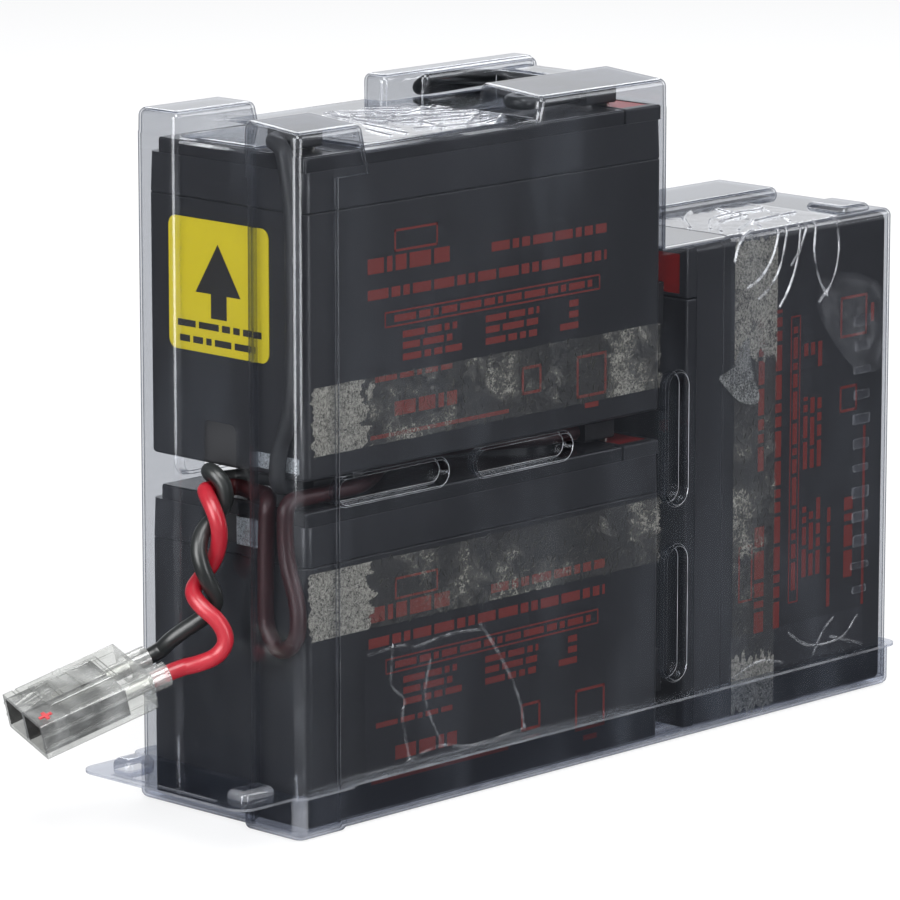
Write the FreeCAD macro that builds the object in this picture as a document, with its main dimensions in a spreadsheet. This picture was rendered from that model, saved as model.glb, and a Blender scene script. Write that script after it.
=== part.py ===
import FreeCAD, Part
import math
import os
import Sketcher
from FreeCAD import Placement, Rotation, Vector

# A battery cartridge for a power supply: three sealed batteries in a clear formed shell,
# with a red and a black lead that end in a two-pole connector.
# Pack coordinates run from the left, front, lower corner of the lower battery:
# X to the right along the pack, Y to the back and Z up from the underside of the tray.

doc = FreeCAD.newDocument("BatteryCartridge")
sheet = doc.addObject("Spreadsheet::Sheet", "Dimensions")

DIMENSIONS = {
    # sealed battery
    "battery_length": 151.0,
    "battery_depth": 65.0,
    "case_height": 77.2,
    "lid_start": 77.7,
    "lid_height": 89.0,
    "battery_height": 93.5,
    "battery_round": 2.4,
    "battery_foot_round": 1.2,
    "lid_round": 0.8,
    "lid_draft": 1.4,
    "cover_end": 134.8,
    "cover_back": 61.0,
    "cover_vent": 9.0,
    "pocket_start": 136.2,
    "pocket_end": 148.6,
    "pocket_front": 3.5,
    "pocket_back": 27.0,
    "pocket_clearance": 0.05,
    "terminal_top": 93.3,
    "tab_offset": 0.8,
    "tab_width": 6.35,
    "tab_thickness": 0.8,
    "tab_front": 10.0,
    "tab_top": 99.3,
    "tab_hole": 2.2,
    "sleeve_length": 13.0,
    "sleeve_front": 8.6,
    "sleeve_back": 17.6,
    "sleeve_base": 94.4,
    "sleeve_top": 100.4,
    "sleeve_round": 1.0,
    "sleeve_bore_depth": 6.0,
    "wire_clearance": 0.1,
    # stack
    "battery_seat": 1.5,
    "upper_seat": 104.0,
    "right_base": 256.5,
    # clear film
    "film": 0.7,
    "corner_round": 2.4,
    "hood_left": -1.4,
    "hood_front": -1.5,
    "hood_back": 67.0,
    "hood_step": 152.4,
    "hood_right": 258.4,
    "hood_top": 199.0,
    "hood_low_top": 154.0,
    "hood_foot": 2.6,
    "column_left": -6.5,
    "column_front": -3.4,
    "column_face_end": 17.1,
    "column_root_end": 19.4,
    "column_right_face": 10.2,
    "column_right_root": 12.4,
    "rear_column_left": -3.0,
    "rear_column_start": 50.0,
    "boss_top_front": 205.2,
    "boss_top_back": 207.4,
    "front_boss_end": 24.0,
    "front_boss_back": 19.0,
    "rear_boss_end": 34.0,
    "rear_boss_top": 205.9,
    "boss_slope": 4.0,
    "cap_start": 93.8,
    "cap_back": 24.5,
    "cap_slope": 2.6,
    "bridge_start": 136.0,
    "bridge_top": 204.6,
    "ridge_start": 88.0,
    "ridge_step": 105.0,
    "ridge_front": 57.2,
    "ridge_step_front": 55.6,
    "ridge_top": 206.8,
    "ridge_slope": 1.8,
    "duct_right": 157.0,
    "low_ridge_front": 41.0,
    "low_ridge_end": 254.0,
    "low_ridge_top": 156.6,
    "low_pad_start": 233.0,
    "low_pad_end": 254.0,
    "low_pad_front": 3.0,
    "low_pad_back": 20.0,
    "low_pad_top": 155.8,
    "press_depth": 3.4,
    "press_draft": 12.0,
    "exit_front": 27.2,
    "exit_back": 41.1,
    "exit_low": 82.6,
    "exit_high": 117.2,
    "exit_round": 2.5,
    # tray
    "tray_gap": 0.2,
    "tray_film": 0.8,
    "tray_round": 3.4,
    "tray_foot_round": 2.2,
    "tray_height": 13.6,
    "tray_lip": 1.9,
    "flange_reach": 23.0,
    "flange_front": -3.4,
    "flange_back": 66.0,
    "flange_round": 6.0,
    "snap_height": 2.6,
    "rib_inset": 8.0,
    "rib_width": 7.0,
    # print and tape
    "sheet_thickness": 0.2,
    "sheet_gap": 0.05,
    "tape_width": 20.0,
    "label_front": 14.5,
    "label_back": 56.0,
    "label_low": 136.5,
    "label_high": 175.5,
    "label_round": 3.0,
    # wiring
    "lead_diameter": 4.9,
    "jumper_diameter": 4.2,
    # connector
    "connector_x": -28.2,
    "connector_y": 51.8,
    "connector_z": 53.5,
    "connector_yaw": 162.5,
    "connector_pitch": 17.5,
    "connector_roll": -12.2,
    "connector_length": 36.5,
    "connector_width": 24.0,
    "connector_height": 11.5,
    "connector_wall": 1.3,
    "connector_web": 1.6,
    "connector_back": 9.0,
    "connector_round": 0.8,
    "barrel_diameter": 7.6,
    "barrel_length": 7.0,
    "barrel_inset": 6.2,
    "barrel_bore": 5.0,
    "rail_height": 0.8,
    "rail_width": 1.2,
    "rail_left": 3.6,
    "rail_right": 17.2,
    "frame_back": 7.5,
    "frame_front": 29.8,
    "rib_back": 16.4,
    "rib_front": 23.6,
    "ledge_proud": 0.6,
    "ledge_high": -3.2,
    "ledge_low": -7.2,
    "ledge_thickness": 0.7,
    "notch_start": 32.4,
    "notch_end": 33.6,
    "notch_reach": 5.7,
    "mark_x": 32.9,
    "mark_y": 19.9,
    "mark_length": 4.0,
    "mark_width": 1.1,
    "mark_thickness": 0.3,
    "contact_width": 7.0,
    "crimp_diameter": 4.4,
    "contact_thickness": 1.6,
    "contact_length": 14.0,
    # place of the origin, at the middle of the underside
    "centre_x": 128.2,
    "centre_y": 32.5,
}

for row, (alias, size) in enumerate(DIMENSIONS.items(), start=1):
    sheet.set("A%d" % row, alias)
    sheet.set("B%d" % row, str(size))
    sheet.setAlias("B%d" % row, alias)
doc.recompute()


def cell(text):
    """An expression in which each alias is read from the sheet."""
    words = []
    for word in text.replace("(", " ( ").replace(")", " ) ").split():
        words.append("Dimensions." + word if word in DIMENSIONS else word)
    return " ".join(words)


def number(text):
    """The value of such an expression."""
    return float(sheet.evalExpression(cell(text)))


def origin_plane(body, role):
    for feature in body.Origin.OriginFeatures:
        if feature.Role == role:
            return feature


def new_body(name):
    return doc.addObject("PartDesign::Body", name)


def outline(body, name, role, points, start="0"):
    """A closed sketch through the points, each coordinate bound to the sheet."""
    sketch = body.newObject("Sketcher::SketchObject", name)
    sketch.AttachmentSupport = [(origin_plane(body, role), "")]
    sketch.MapMode = "FlatFace"
    sketch.setExpression("AttachmentOffset.Base.z", cell(start))
    corners = [Vector(number(x), number(y), 0) for x, y in points]
    count = len(corners)
    for index in range(count):
        line = Part.LineSegment(corners[index], corners[(index + 1) % count])
        sketch.addGeometry(line, False)
    for index in range(count):
        sketch.addConstraint(Sketcher.Constraint("Coincident", index, 2, (index + 1) % count, 1))
    for index, (x, y) in enumerate(points):
        for kind, text in (("DistanceX", x), ("DistanceY", y)):
            rule = Sketcher.Constraint(kind, -1, 1, index, 1, number(text))
            place = sketch.addConstraint(rule)
            sketch.setExpression("Constraints[%d]" % place, cell(text))
    return sketch


def circle(body, name, role, x, y, diameter, start="0"):
    sketch = body.newObject("Sketcher::SketchObject", name)
    sketch.AttachmentSupport = [(origin_plane(body, role), "")]
    sketch.MapMode = "FlatFace"
    sketch.setExpression("AttachmentOffset.Base.z", cell(start))
    centre = Vector(number(x), number(y), 0)
    sketch.addGeometry(Part.Circle(centre, Vector(0, 0, 1), number(diameter) / 2), False)
    rules = (("DistanceX", x), ("DistanceY", y))
    for kind, text in rules:
        place = sketch.addConstraint(Sketcher.Constraint(kind, -1, 1, 0, 3, number(text)))
        sketch.setExpression("Constraints[%d]" % place, cell(text))
    place = sketch.addConstraint(Sketcher.Constraint("Diameter", 0, number(diameter)))
    sketch.setExpression("Constraints[%d]" % place, cell(diameter))
    return sketch


def pad(body, name, sketch, length, taper=None):
    feature = body.newObject("PartDesign::Pad", name)
    feature.Profile = sketch
    feature.setExpression("Length", cell(length))
    if taper:
        feature.setExpression("TaperAngle", cell(taper))
    doc.recompute()
    return feature


def pocket(body, name, sketch, length, both_ways=False):
    """A cut along the sketch's normal, or as far to each side of it."""
    feature = body.newObject("PartDesign::Pocket", name)
    feature.Profile = sketch
    feature.setExpression("Length", cell(length))
    feature.Midplane = both_ways
    feature.Reversed = not both_ways
    doc.recompute()
    return feature


def round_edges(body, name, radius, wanted):
    """Fillets the edges of the body's tip whose middle and direction are wanted."""
    base = body.Tip
    names = []
    for index, edge in enumerate(base.Shape.Edges, start=1):
        first, last = edge.firstVertex().Point, edge.lastVertex().Point
        run = last - first
        if run.Length < 1e-6:
            continue
        if wanted((first + last) * 0.5, run.normalize()):
            names.append("Edge%d" % index)
    feature = body.newObject("PartDesign::Fillet", name)
    feature.Base = (base, names)
    feature.setExpression("Radius", cell(radius))
    doc.recompute()
    return feature


def rectangle(x0, x1, y0, y1):
    return [(x0, y0), (x1, y0), (x1, y1), (x0, y1)]


def upright(middle, run):
    return abs(run.z) > 0.99


def box(name, x, y, z, edge_round=None, wanted=upright):
    """A block between pairs of planes, drawn from above and padded up."""
    body = new_body(name)
    sketch = outline(body, name + "Outline", "XY_Plane", rectangle(*x, *y), z[0])
    pad(body, name + "Pad", sketch, "(%s) - (%s)" % (z[1], z[0]))
    if edge_round:
        round_edges(body, name + "Round", edge_round, wanted)
    return body


def place_in_pack(item, label, placement=None):
    """Names a finished piece and moves it from pack coordinates to the part's frame."""
    item.Label = label
    shift = Vector(-number("centre_x"), -number("centre_y"), 0)
    item.Placement = Placement(shift, Rotation()).multiply(placement or Placement())
    finished.append(item)
    return item


finished = []


# The film forms. Each one is made twice: as the outer surface and, smaller by the film,
# as the space inside it.

def film_form(name, x, y, z, shrink, slopes=("0", "0"), low_front=None):
    """A block with sloped ends, and a top that falls to low_front at the front."""
    body = new_body(name)
    left, right = "%s + %s" % (x[0], shrink), "%s - %s" % (x[1], shrink)
    top = "%s - %s" % (z[1], shrink)
    profile = [(left, z[0]), (right, z[0]), (right + " - " + slopes[1], top), (left + " + " + slopes[0], top)]
    back = "%s - %s" % (y[1], shrink)
    front = "%s + %s" % (y[0], shrink)
    sketch = outline(body, name + "Outline", "XZ_Plane", profile, "0 - (%s)" % back)
    pad(body, name + "Pad", sketch, "(%s) - (%s)" % (back, front))
    if low_front:
        edge = "%s - %s" % (low_front, shrink)
        wedge = [(front + " - 1", edge), (back + " + 1", top),
                 (back + " + 1", top + " + 5"), (front + " - 1", top + " + 5")]
        slant = outline(body, name + "Slant", "YZ_Plane", wedge)
        pocket(body, name + "SlantCut", slant, "1200", both_ways=True)
    floor = number(z[0])
    radius = "corner_round" if shrink == "0" else "corner_round - film"
    round_edges(body, name + "Round", radius, lambda middle, run: middle.z > floor + 0.5)
    return body


def column_form(name, corners, top, shrink, foot):
    """An upright column of the film, drawn from above."""
    body = new_body(name)
    sketch = outline(body, name + "Outline", "XY_Plane", corners, foot)
    pad(body, name + "Pad", sketch, "%s - (%s)" % (top, foot))
    radius = "corner_round" if shrink == "0" else "corner_round - film"
    outer = number(corners[0][0])
    round_edges(body, name + "Round", radius,
                lambda middle, run: upright(middle, run) and abs(middle.x - outer) < 0.01)
    return body


def stadium(body, name, x, z, start):
    """A slot with round ends, standing or lying in the front plane."""
    sketch = body.newObject("Sketcher::SketchObject", name)
    sketch.AttachmentSupport = [(origin_plane(body, "XZ_Plane"), "")]
    sketch.MapMode = "FlatFace"
    sketch.setExpression("AttachmentOffset.Base.z", cell(start))
    wide, high = number(x[1]) - number(x[0]), number(z[1]) - number(z[0])
    radius = min(wide, high) / 2
    half = "(%s - (%s)) / 2" % ((z[1], z[0]) if wide > high else (x[1], x[0]))
    first = ("%s + %s" % (x[0], half), "%s + %s" % (z[0], half))
    last = ("%s - %s" % (x[1], half), "%s - %s" % (z[1], half))
    start_angle = math.pi / 2 if wide > high else math.pi
    axis = Vector(0, 0, 1)
    ends = [Vector(number(point[0]), number(point[1]), 0) for point in (first, last)]
    for centre, angle in ((ends[0], start_angle), (ends[1], start_angle + math.pi)):
        sketch.addGeometry(Part.ArcOfCircle(Part.Circle(centre, axis, radius), angle, angle + math.pi), False)
    arcs = [sketch.Geometry[0], sketch.Geometry[1]]
    sketch.addGeometry(Part.LineSegment(arcs[0].EndPoint, arcs[1].StartPoint), False)
    sketch.addGeometry(Part.LineSegment(arcs[1].EndPoint, arcs[0].StartPoint), False)
    for rule in (("Tangent", 0, 2, 2, 1), ("Tangent", 2, 2, 1, 1), ("Tangent", 1, 2, 3, 1),
                 ("Tangent", 3, 2, 0, 1), ("Equal", 0, 1)):
        sketch.addConstraint(Sketcher.Constraint(*rule))
    for index, point in ((0, first), (1, last)):
        for kind, text in (("DistanceX", point[0]), ("DistanceY", point[1])):
            place = sketch.addConstraint(Sketcher.Constraint(kind, -1, 1, index, 3, number(text)))
            sketch.setExpression("Constraints[%d]" % place, cell(text))
    place = sketch.addConstraint(Sketcher.Constraint("Radius", 0, radius))
    sketch.setExpression("Constraints[%d]" % place, cell(half))
    return sketch


def press_form(name, x, z, shrink, at_back):
    """A press in the front or back face that keeps the batteries apart."""
    body = new_body(name)
    x = ("%s - %s" % (x[0], shrink), "%s + %s" % (x[1], shrink))
    z = ("%s - %s" % (z[0], shrink), "%s + %s" % (z[1], shrink))
    deep = "press_depth + %s" % shrink
    floor = "hood_back - (%s)" % deep if at_back else "hood_front + %s" % deep
    sketch = stadium(body, name + "Outline", x, z, "0 - (%s)" % floor)
    feature = pad(body, name + "Pad", sketch, "press_depth + 1.5", "press_draft")
    feature.Reversed = at_back
    doc.recompute()
    return body


PRESSES = {
    "PressLeft": (("12.4", "56.5"), ("96.1", "102.4")),
    "PressMiddle": (("69.6", "109.6"), ("96.1", "102.6")),
    "PressUpright": (("153.7", "161.5"), ("74.4", "114.1")),
    "PressLow": (("153.7", "161.5"), ("19.4", "60.0")),
}


def hood_space(side, shrink, foot):
    """The whole space inside one surface of the hood."""
    step_back = "hood_step + 1" if shrink == "0" else "hood_step + 2"
    forms = [
        film_form(side + "Tall", ("hood_left", "hood_step"), ("hood_front", "hood_back"),
                  (foot, "hood_top"), shrink),
        film_form(side + "Low", ("hood_left + 20", "hood_right"), ("hood_front", "hood_back"),
                  (foot, "hood_low_top"), shrink),
        column_form(side + "Column",
                    [("column_left + " + shrink, "column_front + " + shrink),
                     ("column_right_face - " + shrink, "column_front + " + shrink),
                     ("column_right_root - " + shrink, "hood_front + 2"),
                     ("column_right_root - " + shrink, "column_root_end - " + shrink),
                     ("hood_left + " + shrink, "column_root_end - " + shrink),
                     ("column_left + " + shrink, "column_face_end - " + shrink)],
                    "hood_top - " + shrink, shrink, foot),
        column_form(side + "RearColumn",
                    [("rear_column_left + " + shrink, "rear_column_start + " + shrink),
                     ("hood_left + 4", "rear_column_start + " + shrink),
                     ("hood_left + 4", "hood_back - " + shrink),
                     ("rear_column_left + " + shrink, "hood_back - " + shrink)],
                    "hood_top - " + shrink, shrink, foot),
        film_form(side + "FrontBoss", ("column_left", "front_boss_end"), ("column_front", "front_boss_back"),
                  ("hood_top - 8", "boss_top_back"), shrink, ("0.4", "boss_slope"), "boss_top_front"),
        film_form(side + "RearBoss", ("rear_column_left", "rear_boss_end"), ("rear_column_start", "hood_back"),
                  ("hood_top - 8", "rear_boss_top"), shrink, ("0.4", "boss_slope")),
        film_form(side + "Cap", ("cap_start", "hood_step"), ("hood_front", "cap_back"),
                  ("hood_top - 8", "boss_top_back"), shrink, ("cap_slope", "0.4"), "boss_top_front"),
        film_form(side + "Bridge", ("bridge_start", "hood_step"), ("cap_back - 6", "ridge_front + 4"),
                  ("hood_top - 8", "bridge_top"), shrink, ("1", "0.4")),
        film_form(side + "Ridge", ("ridge_start", "duct_right"), ("ridge_front", "hood_back"),
                  ("hood_low_top - 6", "ridge_top"), shrink, ("ridge_slope", "0.4")),
        film_form(side + "RidgeStep", ("ridge_step", "duct_right - 0.4"), ("ridge_step_front", "hood_back - 2"),
                  ("hood_low_top - 6", "ridge_top - 0.5"), shrink, ("0.6", "0.4")),
        film_form(side + "LowRidge", (step_back + " - 8", "low_ridge_end"), ("low_ridge_front", "hood_back"),
                  ("hood_low_top - 8", "low_ridge_top"), shrink, ("0", "1.5")),
        film_form(side + "LowPad", ("low_pad_start", "low_pad_end"), ("low_pad_front", "low_pad_back"),
                  ("hood_low_top - 8", "low_pad_top"), shrink, ("8", "0.8")),
    ]
    whole = doc.addObject("Part::MultiFuse", side + "Whole")
    whole.Shapes = forms
    whole.Refine = True
    presses = doc.addObject("Part::MultiFuse", side + "Presses")
    presses.Shapes = [press_form(side + face + key, x, z, shrink, face == "Back")
                      for key, (x, z) in PRESSES.items() for face in ("Front", "Back")]
    pressed = doc.addObject("Part::Cut", side + "Pressed")
    pressed.Base = whole
    pressed.Tool = presses
    doc.recompute()
    return pressed


def build_hood():
    outer = hood_space("Outer", "0", "hood_foot")
    inner = hood_space("Inner", "film", "hood_foot - 2")
    shell = doc.addObject("Part::Cut", "HoodShell")
    shell.Base = outer
    shell.Tool = inner
    exit_hole = new_body("CableExit")
    frame = rectangle("exit_front", "exit_back", "exit_low", "exit_high")
    sketch = outline(exit_hole, "CableExitOutline", "YZ_Plane", frame, "hood_left - 3")
    pad(exit_hole, "CableExitPad", sketch, "6")
    high = number("exit_high")
    middle_y = number("(exit_front + exit_back) / 2")
    round_edges(exit_hole, "CableExitRound", "exit_round",
                lambda middle, run: abs(run.x) > 0.99 and middle.z > high - 0.1 and middle.y != middle_y)
    hood = doc.addObject("Part::Cut", "Hood")
    hood.Base = shell
    hood.Tool = exit_hole
    doc.recompute()
    place_in_pack(hood, "hood")


def tray_plan(offset):
    """The tray's plan, a step outside the hood's columns and walls."""
    side = "tray_gap + %s" % offset
    return [("column_left - (%s)" % side, "column_front - (%s)" % side),
            ("column_right_face + (%s)" % side, "column_front - (%s)" % side),
            ("column_right_root + (%s)" % side, "hood_front - (%s)" % side),
            ("hood_right + (%s)" % side, "hood_front - (%s)" % side),
            ("hood_right + (%s)" % side, "hood_back + (%s)" % side),
            ("rear_column_left - (%s)" % side, "hood_back + (%s)" % side),
            ("rear_column_left - (%s)" % side, "column_root_end + (%s)" % side),
            ("column_left - (%s)" % side, "column_face_end + (%s)" % side)]


def tray_block(name, offset, z, corner, foot_round=None):
    body = new_body(name)
    sketch = outline(body, name + "Outline", "XY_Plane", tray_plan(offset), z[0])
    pad(body, name + "Pad", sketch, "(%s) - (%s)" % (z[1], z[0]))
    left, right = number("column_left"), number("hood_right")
    rear = number("rear_column_left")
    back = number("hood_back") - 1
    round_edges(body, name + "Corners", corner, lambda middle, run: upright(middle, run) and (
        middle.x > right or (middle.x < left and middle.y < 0) or (middle.x < rear and middle.y > back)))
    if foot_round:
        low = number(z[0])
        round_edges(body, name + "Foot", foot_round, lambda middle, run: abs(middle.z - low) < 0.01)
    return body


def build_tray():
    wall = tray_block("TrayWall", "tray_film", ("0", "tray_height"), "tray_round", "tray_foot_round")
    lip = tray_block("TrayLip", "tray_film + tray_lip", ("tray_height - tray_film", "tray_height"),
                     "tray_round + tray_lip")
    space = tray_block("TraySpace", "0", ("tray_film", "tray_height + 2"), "tray_round - tray_film",
                       "tray_foot_round - tray_film")
    flange = box("TrayFlange", ("column_left - flange_reach", "rear_column_left"),
                 ("flange_front", "flange_back"), ("tray_height - tray_film", "tray_height"),
                 "flange_round", lambda middle, run: upright(middle, run) and middle.x < -20)
    groove = box("FlangeGroove", ("column_left - flange_reach + 2.4", "column_left - flange_reach + 3.8"),
                 ("flange_front + 14", "flange_back - 12"), ("tray_height - 0.35", "tray_height + 1"))
    snap = box("FlangeSnap", ("-22", "-9"), ("3.4", "11.6"),
               ("tray_height - tray_film", "tray_height + snap_height"), "2.0",
               lambda middle, run: middle.z > number("tray_height"))
    snap_space = box("FlangeSnapSpace", ("-21.3", "-9.7"), ("4.1", "10.9"),
                     ("tray_height - tray_film - 1", "tray_height + snap_height - tray_film"))
    arch = box("FlangeArch", ("-21.5", "-10"), ("52.5", "60.5"),
               ("tray_height - tray_film", "tray_height + snap_height + 0.4"), "2.4",
               lambda middle, run: middle.z > number("tray_height"))
    arch_space = box("FlangeArchSpace", ("-20.8", "-10.7"), ("53.2", "59.8"),
                     ("tray_height - tray_film - 1", "tray_height + snap_height - tray_film + 0.4"))
    ribs = []
    rib_spaces = []
    for key, front in (("Front", "rib_inset"), ("Back", "battery_depth - rib_inset - rib_width")):
        ribs.append(box(key + "Rib", ("rib_inset", "right_base - rib_inset"), (front, "%s + rib_width" % front),
                        ("tray_film / 2", "battery_seat")))
        rib_spaces.append(box(key + "RibSpace", ("rib_inset + tray_film", "right_base - rib_inset - tray_film"),
                              ("%s + tray_film" % front, "%s + rib_width - tray_film" % front),
                              ("0 - 1", "battery_seat - tray_film")))
    outside = doc.addObject("Part::MultiFuse", "TrayOutside")
    outside.Shapes = [wall, lip, flange, snap, arch]
    hollow = doc.addObject("Part::Cut", "TrayHollow")
    hollow.Base = outside
    hollow.Tool = space
    body = doc.addObject("Part::MultiFuse", "TrayBody")
    body.Shapes = [hollow] + ribs
    cuts = doc.addObject("Part::MultiFuse", "TrayCuts")
    cuts.Shapes = [groove, snap_space, arch_space] + rib_spaces
    tray = doc.addObject("Part::Cut", "Tray")
    tray.Base = body
    tray.Tool = cuts
    doc.recompute()
    place_in_pack(tray, "tray")


# One sealed battery in its own coordinates, from its left, front, lower corner.

def battery_case(name):
    body = box(name, ("0", "battery_length"), ("0", "battery_depth"), ("0", "case_height"), "battery_round")
    low = 0.01
    round_edges(body, name + "Foot", "battery_foot_round", lambda middle, run: middle.z < low)
    high = number("case_height") - 0.01
    round_edges(body, name + "Seam", "0.5", lambda middle, run: middle.z > high)
    return body


def battery_lid(name):
    body = new_body(name)
    plan = rectangle("0", "battery_length", "0", "battery_depth")
    sketch = outline(body, name + "Outline", "XY_Plane", plan, "case_height")
    pad(body, name + "Pad", sketch, "lid_height - case_height", "0 - lid_draft")
    round_edges(body, name + "Corners", "battery_round", lambda middle, run: abs(run.z) > 0.9)
    low = number("case_height") + 0.01
    round_edges(body, name + "Seam", "0.5", lambda middle, run: middle.z < low)
    end = rectangle("cover_end + 0.4", "battery_length - 0.5", "0.5", "cover_back")
    raised = outline(body, name + "RaisedOutline", "XY_Plane", end, "lid_height")
    pad(body, name + "Raised", raised, "battery_height - lid_height")
    high = number("battery_height") - 0.01
    round_edges(body, name + "RaisedRound", "lid_round", lambda middle, run: middle.z > high)
    well = rectangle("pocket_start", "pocket_end", "pocket_front", "pocket_back")
    cut = outline(body, name + "WellOutline", "XY_Plane", well, "lid_height")
    feature = pocket(body, name + "Well", cut, "battery_height")
    feature.Reversed = True
    doc.recompute()
    return body


def battery_cover(name):
    """The welded plate over the vents, with the well of the left terminal."""
    body = box(name, ("0.5", "cover_end"), ("0.5", "cover_back"), ("lid_height", "battery_height"),
               "lid_round", lambda middle, run: abs(run.z) > 0.9 or middle.z > number("battery_height") - 0.01)
    well = rectangle("battery_length - pocket_end", "battery_length - pocket_start", "pocket_front", "pocket_back")
    cut = outline(body, name + "WellOutline", "XY_Plane", well, "lid_height")
    feature = pocket(body, name + "Well", cut, "battery_height")
    feature.Reversed = True
    groove = rectangle("22", "cover_end - 8", "40.0", "41.2")
    line = outline(body, name + "GrooveOutline", "XY_Plane", groove, "battery_height - 0.5")
    slot = pocket(body, name + "Groove", line, "2")
    slot.Reversed = True
    doc.recompute()
    return body


def mirrored(left, right, is_right):
    """A pair of planes near the right end, or the same pair near the left end."""
    if is_right:
        return (left, right)
    return ("battery_length - (%s)" % right, "battery_length - (%s)" % left)


def terminal_base(name, is_right):
    x = mirrored("pocket_start + pocket_clearance", "pocket_end - pocket_clearance", is_right)
    return box(name, x, ("pocket_front + pocket_clearance", "pocket_back - pocket_clearance"),
               ("lid_height", "terminal_top"))


def terminal_tab(name, is_right):
    x = mirrored("pocket_start + tab_offset", "pocket_start + tab_offset + tab_thickness", is_right)
    body = box(name, x, ("tab_front", "tab_front + tab_width"), ("terminal_top", "tab_top"))
    shoulder = number("tab_top") - 0.01
    round_edges(body, name + "Round", "1.2",
                lambda middle, run: abs(run.x) > 0.99 and middle.z > shoulder)
    return body


def terminal_sleeve(name, is_right, out_left, wire):
    """The insulated push-on receptacle over the tab, with a bore for its wire."""
    start = "pocket_start + tab_offset - 10.5"
    if out_left != is_right:
        start = "pocket_start + tab_offset - 1.7"
    x = mirrored(start, "%s + sleeve_length" % start, is_right)
    body = box(name, x, ("sleeve_front", "sleeve_back"), ("sleeve_base", "sleeve_top"), "sleeve_round",
               lambda middle, run: abs(run.x) > 0.99)
    slot_x = mirrored("pocket_start + tab_offset - 0.05", "pocket_start + tab_offset + tab_thickness + 0.05", is_right)
    slot = outline(body, name + "SlotOutline", "XY_Plane",
                   rectangle(*slot_x, "tab_front - 0.05", "tab_front + tab_width + 0.05"), "sleeve_base - 1")
    cut = pocket(body, name + "Slot", slot, "tab_top + 0.1 - sleeve_base + 1")
    cut.Reversed = True
    middle = ("(sleeve_front + sleeve_back) / 2", "(sleeve_base + sleeve_top) / 2")
    mouth = x[0] if out_left else x[1]
    ring = circle(body, name + "BoreCircle", "YZ_Plane", *middle, wire + " + wire_clearance", mouth)
    bore = pocket(body, name + "Bore", ring, "sleeve_bore_depth")
    bore.Reversed = out_left
    doc.recompute()
    return body


BATTERIES = {
    "lower": (Vector(0, 0, number("battery_seat")), Rotation(), False),
    "upper": (Vector(0, 0, number("upper_seat")), Rotation(), True),
    "right": (Vector(number("right_base"), 0, number("battery_seat")), Rotation(Vector(0, 1, 0), -90), False),
}


def build_battery(side):
    corner, turn, left_wire_outward = BATTERIES[side]
    place = Placement(corner, turn)
    key = side.capitalize()
    place_in_pack(battery_case(key + "Case"), side + "_battery_case", place)
    place_in_pack(battery_lid(key + "Lid"), side + "_battery_lid", place)
    place_in_pack(battery_cover(key + "Cover"), side + "_vent_cover", place)
    for pole, is_right in (("positive", True), ("negative", False)):
        stem = key + pole.capitalize()
        label = side + "_" + pole
        outward = left_wire_outward if pole == "negative" else True
        wire = "lead_diameter" if label in ("lower_positive", "upper_negative") else "jumper_diameter"
        place_in_pack(terminal_base(stem + "Base", is_right), label + "_base", place)
        place_in_pack(terminal_tab(stem + "Tab", is_right), label + "_tab", place)
        place_in_pack(terminal_sleeve(stem + "Sleeve", is_right, outward, wire), label + "_sleeve", place)


# Label and tapes: thin sheets on the batteries' faces.

def tape_bend(name, x):
    """A quarter ring of tape round the low block's front top edge."""
    rings = []
    for key, reach in (("Outer", "corner_round + sheet_gap + sheet_thickness"), ("Inner", "corner_round + sheet_gap")):
        body = new_body(name + key)
        sketch = circle(body, name + key + "Circle", "YZ_Plane", "hood_front + corner_round",
                        "hood_low_top - corner_round", "2 * (%s)" % reach, x[0])
        pad(body, name + key + "Pad", sketch, "%s - %s" % (x[1], x[0]))
        rings.append(body)
    ring = doc.addObject("Part::Cut", name + "Ring")
    ring.Base = rings[0]
    ring.Tool = rings[1]
    quarter = box(name + "Quarter", x, ("hood_front - 2", "hood_front + corner_round"),
                  ("hood_low_top - corner_round", "hood_low_top + 2"))
    bend = doc.addObject("Part::MultiCommon", name)
    bend.Shapes = [ring, quarter]
    doc.recompute()
    return bend


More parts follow.
